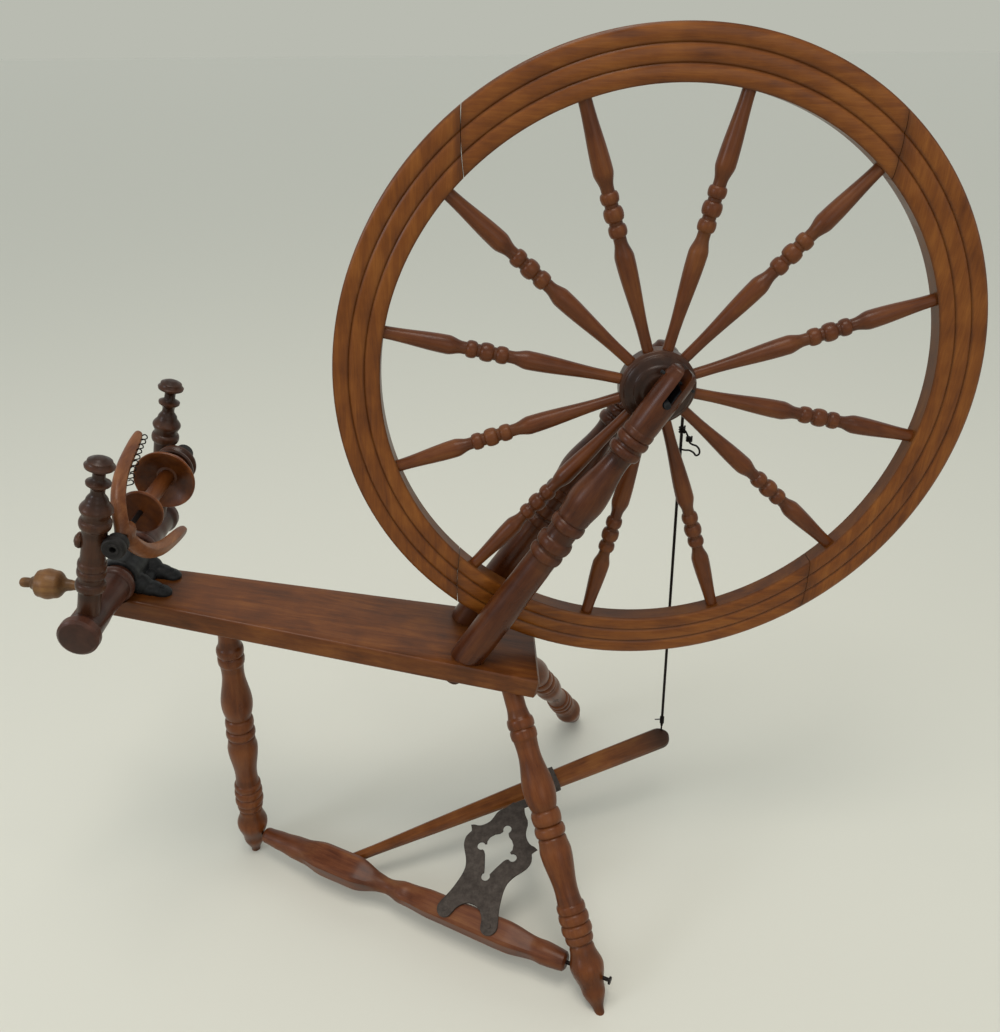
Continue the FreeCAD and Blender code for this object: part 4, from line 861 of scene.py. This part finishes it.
# The pierced plate: one side of its outline from the foot's middle to the tongue; k is a corner.
plateShape = {"station": 370, "under": 17, "thick": 3.2, "edge": 0.7,
              "side": [(0, 15.8, "s"), (7, 15, "s"), (13, 11, "s"), (17.5, 6, "s"), (20.3, 1, "s"),
                       (21.6, -4, "s"),
                       (24, -10.3, "s"), (28.6, -13.9, "s"), (34, -14.6, "s"), (39.5, -12.5, "s"),
                       (43.5, -7.5, "s"), (44.6, -2, "s"), (43, 5, "s"), (40, 13, "s"), (36.5, 24, "s"),
                       (33.5, 38, "s"), (32, 50, "s"), (32.8, 60, "s"), (37, 70, "s"), (44, 80, "s"),
                       (49, 88, "s"), (51.2, 97, "s"), (50, 104, "s"), (47.3, 110, "k"), (49, 113.6, "s"),
                       (52.4, 118.4, "k"), (47, 120.6, "s"), (42, 121.2, "s"), (37, 123.5, "s"), (32, 128, "s"),
                       (28, 134, "s"), (26, 141, "s"), (24.8, 148, "s"), (22, 154, "k"), (16, 160, "s"),
                       (12, 166, "s"), (9, 172, "k")],
              "neck": [(4.4, 125.4), (7, 121.5), (13, 118), (18, 112), (19.6, 105), (18, 100.6)],
              "below": [(17.6, 89.8), (14.5, 86), (9, 74), (4.4, 62.4)],
              # each round of the hole: its middle, its radius and the two angles its edge runs between
              "topRound": ((0, 131), 6, 90, -44), "sideRound": ((24.4, 95), 5.8, 132, -132),
              "lowRound": ((0, 57), 6, 44, -90),
              "nails": 33, "nailUp": -3, "strap": (303, 319), "tongue": (16, 12)}


def softSide(rows):
    # smooth between the corners, straight into them
    line, run = [], []
    for x, y, kind in rows:
        run.append(Vector((x, y, 0)))
        if kind == "k" and len(run) > 1:
            line += smoothLine(run, 4)[:-1]
            run = [run[-1]]
    return [(p.x, p.y) for p in line + [run[-1]]]


def buildPlate():
    side = softSide(plateShape["side"])
    outline = side + [(-x, y) for x, y in reversed(side[1:])]
    hole = (arcPoints(*plateShape["topRound"]) + plateShape["neck"] + arcPoints(*plateShape["sideRound"])
            + plateShape["below"] + arcPoints(*plateShape["lowRound"]))
    hole += [(-x, y) for x, y in reversed(hole[1:-1])]
    curve = bpy.data.curves.new("plate", "CURVE")
    curve.dimensions = "2D"
    curve.fill_mode = "BOTH"
    curve.extrude = (plateShape["thick"] / 2 - plateShape["edge"]) * mm
    curve.bevel_depth = plateShape["edge"] * mm
    curve.offset = -plateShape["edge"] * mm
    curve.bevel_resolution = 2
    for loop in (outline, hole):
        spline = curve.splines.new("POLY")
        spline.points.add(len(loop) - 1)
        for point, (x, y) in zip(spline.points, loop):
            point.co = (x * mm, y * mm, 0, 1)
        spline.use_cyclic_u = True
    flat = linked("flat", curve)
    mesh = evaluated(flat)
    bpy.data.objects.remove(flat)
    place = turnOf((railWay, uphill, liftWay))
    place.translation = onTreadle(plateShape["station"], 0, plateShape["under"] + plateShape["thick"] / 2)
    mesh.transform(place)
    remade(mesh, lambda work: bmesh.ops.remove_doubles(work, verts=work.verts, dist=1e-6))
    shade(mesh, 30)
    return newObject("plate", mesh, finish["rustedIronPlate"])


onBody(buildPlate(), "treadle", "black_iron", "treadle_plate")

strapShape = {"clear": 1.9, "wide": (16, 16), "thick": 3, "top": 8.4,
              # one half of its bend: in from its side and up from the arm's middle
              "bend": [(0, -6), (0, 0), (0, 5.5), (0.6, 7.4), (2.4, 8.3)]}
middle = sum(plateShape["strap"]) / 2
wide = armWidth(middle) / 2 + strapShape["clear"]
strapLine = [onArm(middle, x - wide, z) for x, z in strapShape["bend"]] + [onArm(middle, 0, strapShape["top"])]
strapLine += [onArm(middle, wide - x, z) for x, z in reversed(strapShape["bend"])]
onBody(ribbon("strap", smoothLine(strapLine, 3), strapShape["wide"], strapShape["thick"], armWay,
              finish["rustedIronPlate"]), "treadle", "black_iron")
tongueEnd = onArm(middle, -wide - 0.4, 3.4)
tongueStart = onTreadle(plateShape["station"], 160, plateShape["under"] + 1.6)
tongueLine = [tongueStart, onTreadle(plateShape["station"] + 1, 170, plateShape["under"] + 1.5),
              tongueStart * 0.45 + tongueEnd * 0.55, tongueEnd]
onBody(ribbon("tongue", smoothLine(tongueLine, 6), plateShape["tongue"], 3.1, railWay,
              finish["rustedIronPlate"]), "treadle", "black_iron")
for name, side in (("left", -1), ("right", 1)):
    spot = onTreadle(plateShape["station"] + side * plateShape["nails"], plateShape["nailUp"],
                     plateShape["under"])
    onBody(lathe(name + "_nail", [(-12, 2.6, "k"), (2.5, 3.2, "k"), (3.1, 7.4, "k"), (3.9, 6.4, "s"),
                                  (4.5, 3, "s")], frameAt(spot, liftWay), finish["rustedIronPlate"], 20),
           "treadle", "black_iron", name + "_plate_nail")
print("treadle")

barWay = jointWay("head_tilt")
barMiddle = jointAt("head_tilt")
flyerAxis = jointWay("flyer_spin")
flyerMiddle = jointAt("flyer_spin")
standWay = (Matrix.Rotation(math.radians(stance["headLean"]), 3, barWay)
            @ (upWay - barWay * upWay.dot(barWay)).normalized())
acrossWay = barWay.cross(standWay)
onHead = placesFrom(barMiddle, acrossWay, barWay, standWay)

barShape = {"stations": [
    (-152, 38, "k"), (-151, 42, "s"), (-148.5, 47.5, "s"), (-141, 48, "s"), (-137, 45, "k"), (-131, 40, "s"),
    (-106, 39.5, "s"), (-90, 37.5, "s"), (-60, 41, "s"), (-45, 43, "s"), (-43, 43, "k"), (-36, 50, "b"),
    (-31.5, 46, "k"), (-31, 40, "k"), (47, 40, "k"), (47.5, 46, "k"), (51, 50, "b"), (57, 43, "k"),
    (60, 43, "s"), (74, 41, "s"), (95, 37.5, "s"), (108, 39.5, "s"), (131, 40, "s"), (137, 45, "k"),
    (141, 48, "s"), (148.5, 47.5, "s"), (151, 42, "s"), (152, 38, "k")]}
bar = lathe("bar_turned", barShape["stations"], frameAt(barMiddle, barWay), finish["maroonStainedBar"], 64, 6.1)
onBody(bar, "head", "maroon_wood", "mother_of_all")

uprightShape = {"out": 120, "stations": [
    (12, 25, "k"), (30, 25, "s"), (45, 25.5, "s"), (48, 26, "k"), (55, 33.5, "b"), (61, 27, "k"), (64, 27, "s"),
    (68, 29, "k"), (73, 32, "b"), (78, 29, "k"), (83, 31.5, "b"), (88, 28, "k"), (95, 26.5, "s"),
    (112, 26, "s"), (127, 27, "s"), (130, 28, "k"), (137, 35, "b"), (143, 29, "k"), (146, 29, "s"),
    (155, 35.5, "s"), (166, 24, "s"), (175, 15, "s"), (178, 15, "s"), (185.5, 26, "k"), (188, 26.5, "k"),
    (194, 13.5, "s"), (198.5, 13.5, "s"), (206, 31, "k"), (208.5, 32, "k"), (214, 26, "s"), (217.3, 13, "s"),
    (218, 3, "k")]}
for turn, (node, side) in enumerate((("near_upright", -1), ("far_upright", 1))):
    foot = onHead(0, side * uprightShape["out"], 0)
    upright = lathe(node + "_turned", uprightShape["stations"], frameAt(foot, standWay, acrossWay),
                    finish["darkStainedMaple"], 56, turn * 0.6 + 7.2)
    onBody(upright, "head", "dark_wood", node)

# Pressed rings that carry the flyer: stations run away from the bobbin, in millimetres from the upright's middle
bearingShape = {"near": [(-3, 6.9), (-3, 22), (-1.5, 24.6), (5, 25.4), (6.5, 24.4), (7.5, 24.4), (9, 26),
                         (14, 26.4),
                         (16, 25), (17, 22), (16.2, 18), (16.2, 14.5), (17, 13), (16.4, 7.6), (15, 6.9)],
                "far": [(-6, 6.9), (-6, 21), (-4.5, 23.6), (4.5, 23.6), (6, 21), (6, 6.9)],
                "knob": [(9, 8, "k"), (10.5, 9, "k"), (12, 17.5, "s"), (14.5, 19.5, "s"), (17.5, 17.5, "s"),
                         (20, 10, "s"), (20.8, 2, "k")], "up": 111}
for name, side in (("near", -1), ("far", 1)):
    y = side * uprightShape["out"]
    seat = frameAt(flyerMiddle + flyerAxis * (flyerAxis.dot(onHead(0, y, 118) - flyerMiddle)), flyerAxis * side,
                   acrossWay)
    ring = latheLoop(name + "_bearing", bearingShape[name], seat, finish["pressedBlackLeather"], 48, 0.4)
    onBody(ring, "head", "black_iron", name + "_bearing")
    # the ring's neck goes through the upright
    neck = ribbon(name + "_neck", [onHead(x, y, 117.5) for x in (8, 11, 14.5)], (15, 12), 8, barWay,
                  finish["pressedBlackLeather"])
    onBody(neck, "head", "black_iron")
knobFoot = onHead(0, -uprightShape["out"], bearingShape["up"])
onBody(lathe("near_knob", bearingShape["knob"], frameAt(knobFoot, -acrossWay), finish["darkStainedMaple"],
             32, 2.2),
       "head", "dark_wood")
print("head")

# The saddle: a hood over the bar, run out in two paws on the table and a tab down its end
saddleShape = {"low": -22, "high": 38, "wall": 24.6, "hollow": 20.6, "seatDown": 16.55, "grain": 0.9,
               "soften": 5,
               # each paw's side and place along the bar, then its lumps: out, further apart, up, and their reach
               "paws": [(-1, -12), (1, 28)],
               "lumps": [((24, 1.5, -8), (15, 13, 14)), ((37, 0, -13), (18, 12.5, 10.5)),
                         ((50, 0, -14.8), (14.5, 11.5, 8.2))],
               "web": ((26, 8, -12), (10, 26, 8))}
saddleAcross = barWay.cross(upWay).normalized()
onSaddle = placesFrom(barMiddle, saddleAcross, barWay, upWay)


def buildSaddle():
    ways = (saddleAcross, barWay, upWay)
    low, high, wall = saddleShape["low"], saddleShape["high"], saddleShape["wall"]
    seat = frameAt(onSaddle(0, 0, 0), barWay)
    hood = [(low - 1, wall - 3), (low - 0.4, wall), (low + 4, wall + 0.6), (low + 12, wall), (high - 12, wall),
            (high - 4, wall + 0.4), (high - 0.4, wall), (high + 0.6, wall - 3)]
    parts = [sweepRound(hood, 60, seat)]
    for side, y in saddleShape["paws"]:
        for (out, apart, up), reach in saddleShape["lumps"]:
            parts.append(lump(onSaddle(out, y + side * apart, up), ways, reach))
    parts.append(lump(onSaddle(*saddleShape["web"][0]), ways, saddleShape["web"][1]))
    thing = melted("saddle", parts, saddleShape["grain"], saddleShape["soften"], finish["blackCastIron"])
    hollow = prism(circlePoints(saddleShape["hollow"], 60), seat, -90, 90)
    under = prism([(-60, -90), (90, -90), (90, 90), (-60, 90)],
                  Matrix.Translation(onSaddle(0, 0, 0)) @ turnOf(ways), -90, -saddleShape["seatDown"])
    carve(thing, [hollow, under], 60)
    return thing


onBody(buildSaddle(), "stand", "black_iron", "saddle_strap")
tabLine = [onSaddle(-22.5, 0, 2), onSaddle(-22.4, 0, -14), onSaddle(-22.3, 0, -44)]
tab = ribbon("tab", tabLine, (24, 20), 3.6, barWay, finish["blackCastIron"], 1)
onBody(tab, "stand", "black_iron")
for node, y in (("near_saddle_nail", -12.5), ("far_saddle_nail", 28.5)):
    nail = lathe(node + "_forged",
                 [(-6, 3.4, "k"), (7, 3.8, "k"), (7.6, 8.6, "k"), (8.6, 7.8, "s"), (9.4, 3, "s")],
                 frameAt(onSaddle(50, y, -14.6), upWay), finish["forgedBlackIron"], 12)
    onBody(nail, "stand", "black_iron", node)
print("saddle")

handleShape = {"out": 16.5, "stations": [
    (0, 13, "k"), (2, 18, "s"), (9, 21, "s"), (15, 17, "s"), (33, 12, "s"), (42, 15, "s"), (49, 23, "k"),
    (57, 36, "s"), (68, 40, "s"), (79, 35, "s"), (87, 17, "s"), (90, 12, "k"), (97, 13, "b"), (103, 7, "k")]}
clampWay = jointWay("clamp_turn")
clampStart = jointAt("clamp_turn") + clampWay * (handleShape["out"] * mm)
handle = lathe("handle_turned", handleShape["stations"], frameAt(clampStart, clampWay, upWay),
               finish["wornMapleHandle"], 56, 8.8)
onBody(handle, "clamp", "pale_wood", "clamp_handle")
print("clamp")

flyerSeat = frameAt(flyerMiddle, flyerAxis, acrossWay)
bobbinShape = {"loop": [
    (-48, 6.4), (-48, 50), (-46.5, 53.5), (-44.5, 53.5), (-43, 50), (-43, 19.5), (-30, 19), (30, 19), (49, 20),
    (50, 26), (47, 42), (43, 58), (38.5, 72), (38, 75), (39.5, 77), (42, 76), (47, 62), (52, 44), (55, 34),
    (57, 30), (57, 44), (59, 46), (60.5, 44), (64, 37.5), (67.5, 44), (69, 46), (71, 44), (71, 6.4)]}
bobbin = latheLoop("bobbin_turned", bobbinShape["loop"], flyerSeat, finish["varnishedBeechDish"], 72, 9.1)
onBody(bobbin, "bobbin", "fork_wood", "bobbin")

whorlShape = {"loop": [
    (73, 6.2), (73, 48), (74.5, 52), (77, 51.5), (78.5, 48), (82, 43.5), (85.5, 48), (87, 51.5), (89.5, 52),
    (91, 48), (91, 6.2)]}
whorl = latheLoop("whorl_turned", whorlShape["loop"], flyerSeat, finish["darkStainedMaple"], 64, 9.7)
onBody(whorl, "flyer", "dark_wood", "flyer_whorl")

forkShape = {"turn": 119.5, "base": -104, "grain": 0.9, "soften": 4, "around": 28, "bore": 3.4,
             "root": [(-3, 8), (-1, 10), (8, 11), (16, 9.5), (24, 6)],
             # along the flyer, out from its middle, half width, half thickness
             "arm": [(-2, 0, 9.6, 8.6), (6, 8, 10.2, 8.8), (14, 21, 10, 8.9), (24, 32.5, 9.6, 8.8),
                     (36, 41.5, 9.2, 8.6), (52, 49.5, 9, 8.3), (70, 55.5, 8.8, 8), (90, 60, 8.4, 7.6),
                     (110, 63.6, 8, 7), (124, 66, 7.2, 6.2), (134, 68, 5.6, 4.8), (138, 68.8, 3, 2.6)]}
forkTurn = math.radians(forkShape["turn"])
forkSide = acrossWay * math.cos(forkTurn) + standWay * math.sin(forkTurn)
forkLift = flyerAxis.cross(forkSide)


def onFork(along, side, lift):
    return flyerMiddle + (forkSide * side + flyerAxis * (forkShape["base"] + along) + forkLift * lift) * mm


def forkArm(way):
    # a bent arm with a soft ridge down each face
    rows = forkShape["arm"]
    spots = smoothLine([Vector((along, side * way, 0)) for along, side, w, d in rows], 3)
    sizes = smoothLine([Vector((w, d, 0)) for along, side, w, d in rows], 3)
    points, around = [], forkShape["around"]
    for i, (spot, size) in enumerate(zip(spots, sizes)):
        run = wayAlong(spots, i)
        out = Vector((-run.y, run.x, 0))
        for k in range(around):
            a = 2 * math.pi * k / around
            x, z = math.cos(a), math.sin(a)
            z *= 0.9 + 0.16 * math.exp(-(x / 0.22) ** 2)
            place = spot + out * (size.x * x)
            points.append(onFork(place.x, place.y, size.y * z))
    return points, tubeFaces(len(spots), around)


def buildFork():
    seat = frameAt(onFork(0, 0, 0), flyerAxis)
    thing = melted("fork", [forkArm(1), forkArm(-1), sweepRound(forkShape["root"], 40, seat)],
                   forkShape["grain"],
                   forkShape["soften"], finish["oiledBeechFlyer"])
    carve(thing, [prism(circlePoints(forkShape["bore"], 24), seat, -30, 60)], 60)
    grains, wearAndShade = [], []
    for vertex in thing.data.vertices:
        away = vertex.co - onFork(0, 0, 0)
        grains.append(Vector((away.dot(forkSide) + 2.2, away.dot(forkLift), away.dot(flyerAxis) + 0.4)))
        # painted shade where the arms meet
        wearAndShade.append(fade(away.length, 0, 0.022, 1.2))
    storeGrain(thing.data, grains, wearAndShade)
    return thing


onBody(buildFork(), "flyer", "fork_wood", "flyer_fork")

# Hooks along the inner edge of one arm: a stem, then three quarters of a curl; sizes in millimetres
hookShape = {"count": 9, "wire": 0.75, "stem": 3.2, "curl": 2.9, "start": (132, 61, 4), "middle": (92, 57, 7),
             "end": (48, 39, 7)}


def hooksTree(name):
    tree, given = newTree(name, Hook="Geometry", Count="Int", Start="Vector", Middle="Vector", End="Vector")
    path = addNode(tree, "GeometryNodeCurveQuadraticBezier", {"Resolution": 32}, Start=given["Start"],
                   Middle=given["Middle"], End=given["End"])
    spots = addNode(tree, "GeometryNodeCurveToPoints", {"mode": "COUNT"}, Curve=path.outputs[0],
                    Count=given["Count"])
    lean = addNode(tree, "FunctionNodeRandomValue", {"data_type": "FLOAT_VECTOR", 0: (-0.12, -0.12, -0.12),
                                                     1: (0.12, 0.12, 0.12), "Seed": 7})
    placed = addNode(tree, "GeometryNodeInstanceOnPoints", None, Points=spots.outputs[0],
                     Instance=given["Hook"],
                     Rotation=lean.outputs[0])
    solid = addNode(tree, "GeometryNodeRealizeInstances", None, Geometry=placed.outputs[0])
    painted = addNode(tree, "GeometryNodeSetMaterial", {"Material": finish["drawnIronWire"]},
                      Geometry=solid.outputs[0])
    addNode(tree, "NodeGroupOutput", None, i0=painted.outputs[0])
    return tree


hookLine = [Vector((0, 0, -3)), Vector((0, 0, hookShape["stem"]))]
hookLine += [Vector((hookShape["curl"] * (math.cos(math.radians(a)) - 1), 0,
                     hookShape["stem"] + hookShape["curl"] * math.sin(math.radians(a))))
              for a in range(30, 226, 15)]
hookTurn = turnOf((-forkSide, flyerAxis, forkLift)).to_3x3()
oneHook = wire("oneHook", [hookTurn @ (p * mm) for p in hookLine], hookShape["wire"] * mm,
               finish["drawnIronWire"], 8)
hooks = runTree(oneHook, hooksTree("hooksAlong"),
                {"Count": hookShape["count"], "Start": tuple(onFork(*hookShape["start"])),
                 "Middle": tuple(onFork(*hookShape["middle"])), "End": tuple(onFork(*hookShape["end"]))},
                "hooks", finish["drawnIronWire"])
shade(hooks.data, 50)
onBody(hooks, "flyer", "black_iron")
print("flyer and bobbin")

# Spare wire of the footman, bound below its eye in a loop and knotted above the treadle arm
footmanShape = {"wire": 1.3,
                # out to the right and down from the eye's middle, in millimetres
                "tail": [(0, -61), (3, -59), (6, -63), (9, -70), (11, -76), (15, -79), (20, -81), (24, -86),
                         (24.5, -92), (20.5, -94.5), (16.5, -90), (11, -87), (5, -86.5), (0, -86)],
                "bindings": [(0.4, -60, 3.4, 7), (10.5, -73, 3.3, 5)]}
eyeMiddle = Vector(footmanEye)
rodWay = (footHole - eyeMiddle).normalized()
rodSide = Vector((1, 0, 0))


def offEye(x, z, y=0.0):
    return eyeMiddle + (rodSide * x + Vector((0, y, 0))) * mm - rodWay * (z * mm)


tail = [offEye(x, z, -2.2 if 0 < x else 0) for x, z in footmanShape["tail"]]
onBody(wire("footman_tail", smoothLine(tail, 5), footmanShape["wire"] * mm, finish["drawnIronWire"], 8),
       "footman", "black_iron")
for i, (x, z, r, high) in enumerate(footmanShape["bindings"]):
    coil = [offEye(x + r * math.cos(a * 0.7), z + high * (a / 20 - 0.5),
                   r * math.sin(a * 0.7)) for a in range(28)]
    onBody(wire("footman_binding_%d" % (i + 1), coil, footmanShape["wire"] * mm, finish["drawnIronWire"], 8),
           "footman", "black_iron")
print("footman")

# Finishes of the plain pieces that are shown as they were drawn
plainFinish = {"forgedBlackIron": ["front_liner", "rear_liner", "front_keeper", "rear_keeper", "axle_crank",
                                    "clamp_screw"],
               "drawnIronWire": ["left_treadle_pin", "right_treadle_pin", "footman", "flyer_spindle"]}
for look, names in plainFinish.items():
    for node in names:
        mesh = frame["nodes"][node].data
        mesh.materials.clear()
        mesh.materials.append(finish[look])
print("finishes")

room = {"floor": "D6D6CC", "backdrop": "E2E5E1", "seen": "B9BBB1", "ambient": 0.86, "half": 40,
        # place, what it shines on, width in metres, watts, colour
        "lights": {"overhead": ((0.2, -0.5, 3.2), (0.45, 0, 0.4), 1.3, 34, "FFF6EC"),
                   "fromLeft": ((-2.6, -1.6, 1.9), (0.3, 0, 0.5), 1.0, 18, "F1F5FF"),
                   "fromFront": ((1.4, -3.2, 1.7), (0.5, 0, 0.5), 1.6, 8, "FFF9F2")}}


def plainMaterial(name, colour, rough):
    # matt plaster or sealed concrete
    material = bpy.data.materials.new(name)
    material.use_nodes = True
    shader = material.node_tree.nodes["Principled BSDF"]
    shader.inputs["Base Color"].default_value = linearColour(colour)
    shader.inputs["Roughness"].default_value = rough
    return material


floorMesh = bpy.data.meshes.new("floor")
edge = room["half"]
floorMesh.from_pydata([(-edge, -edge, 0), (edge, -edge, 0), (edge, edge, 0), (-edge, edge, 0)], [],
                      [(0, 1, 2, 3)])
newObject("floor", floorMesh, plainMaterial("paleFloor", room["floor"], 0.6))


def softLight(name, place, target, width, power, colour):
    data = bpy.data.lights.new(name, "AREA")
    data.shape = "SQUARE"
    data.size = width
    data.energy = power
    data.color = linearColour(colour)[:3]
    lamp = linked(name, data)
    lamp.location = place
    lamp.rotation_euler = (Vector(target) - Vector(place)).to_track_quat("-Z", "Y").to_euler()


for name, values in room["lights"].items():
    softLight(name, *values)

world = bpy.data.worlds.new("room")
world.use_nodes = True
tree = world.node_tree
background = tree.nodes["Background"]
background.inputs["Color"].default_value = linearColour(room["backdrop"])
background.inputs["Strength"].default_value = room["ambient"]
# what is seen past the floor's edge has the far floor's tone, so that no line shows
seen = addNode(tree, "ShaderNodeBackground", {"Color": linearColour(room["seen"])})
path = addNode(tree, "ShaderNodeLightPath")
either = addNode(tree, "ShaderNodeMixShader", None, i0=path.outputs["Is Camera Ray"], i1=background.outputs[0],
                 i2=seen.outputs[0])
tree.links.new(either.outputs[0], tree.nodes["World Output"].inputs["Surface"])
bpy.context.scene.world = world

view = {"wide": 1000, "high": 1032, "sensor": 36, "focal": 912.7, "centreX": 493.5, "centreY": 516.7,
        "place": (0.3437, -1.0051, 1.1139), "turn": (61.638, 0.378, -1.671)}
lens = bpy.data.cameras.new("camera")
lens.sensor_fit = "HORIZONTAL"
lens.sensor_width = view["sensor"]
lens.lens = view["focal"] * view["sensor"] / view["wide"]
lens.shift_x = (view["wide"] / 2 - view["centreX"]) / view["wide"]
lens.shift_y = (view["centreY"] - view["high"] / 2) / view["wide"]
lens.clip_start = 0.01
camera = linked("camera", lens)
camera.location = view["place"]
camera.rotation_euler = [math.radians(a) for a in view["turn"]]
bpy.context.scene.camera = camera
bpy.context.scene.view_settings.view_transform = "Standard"
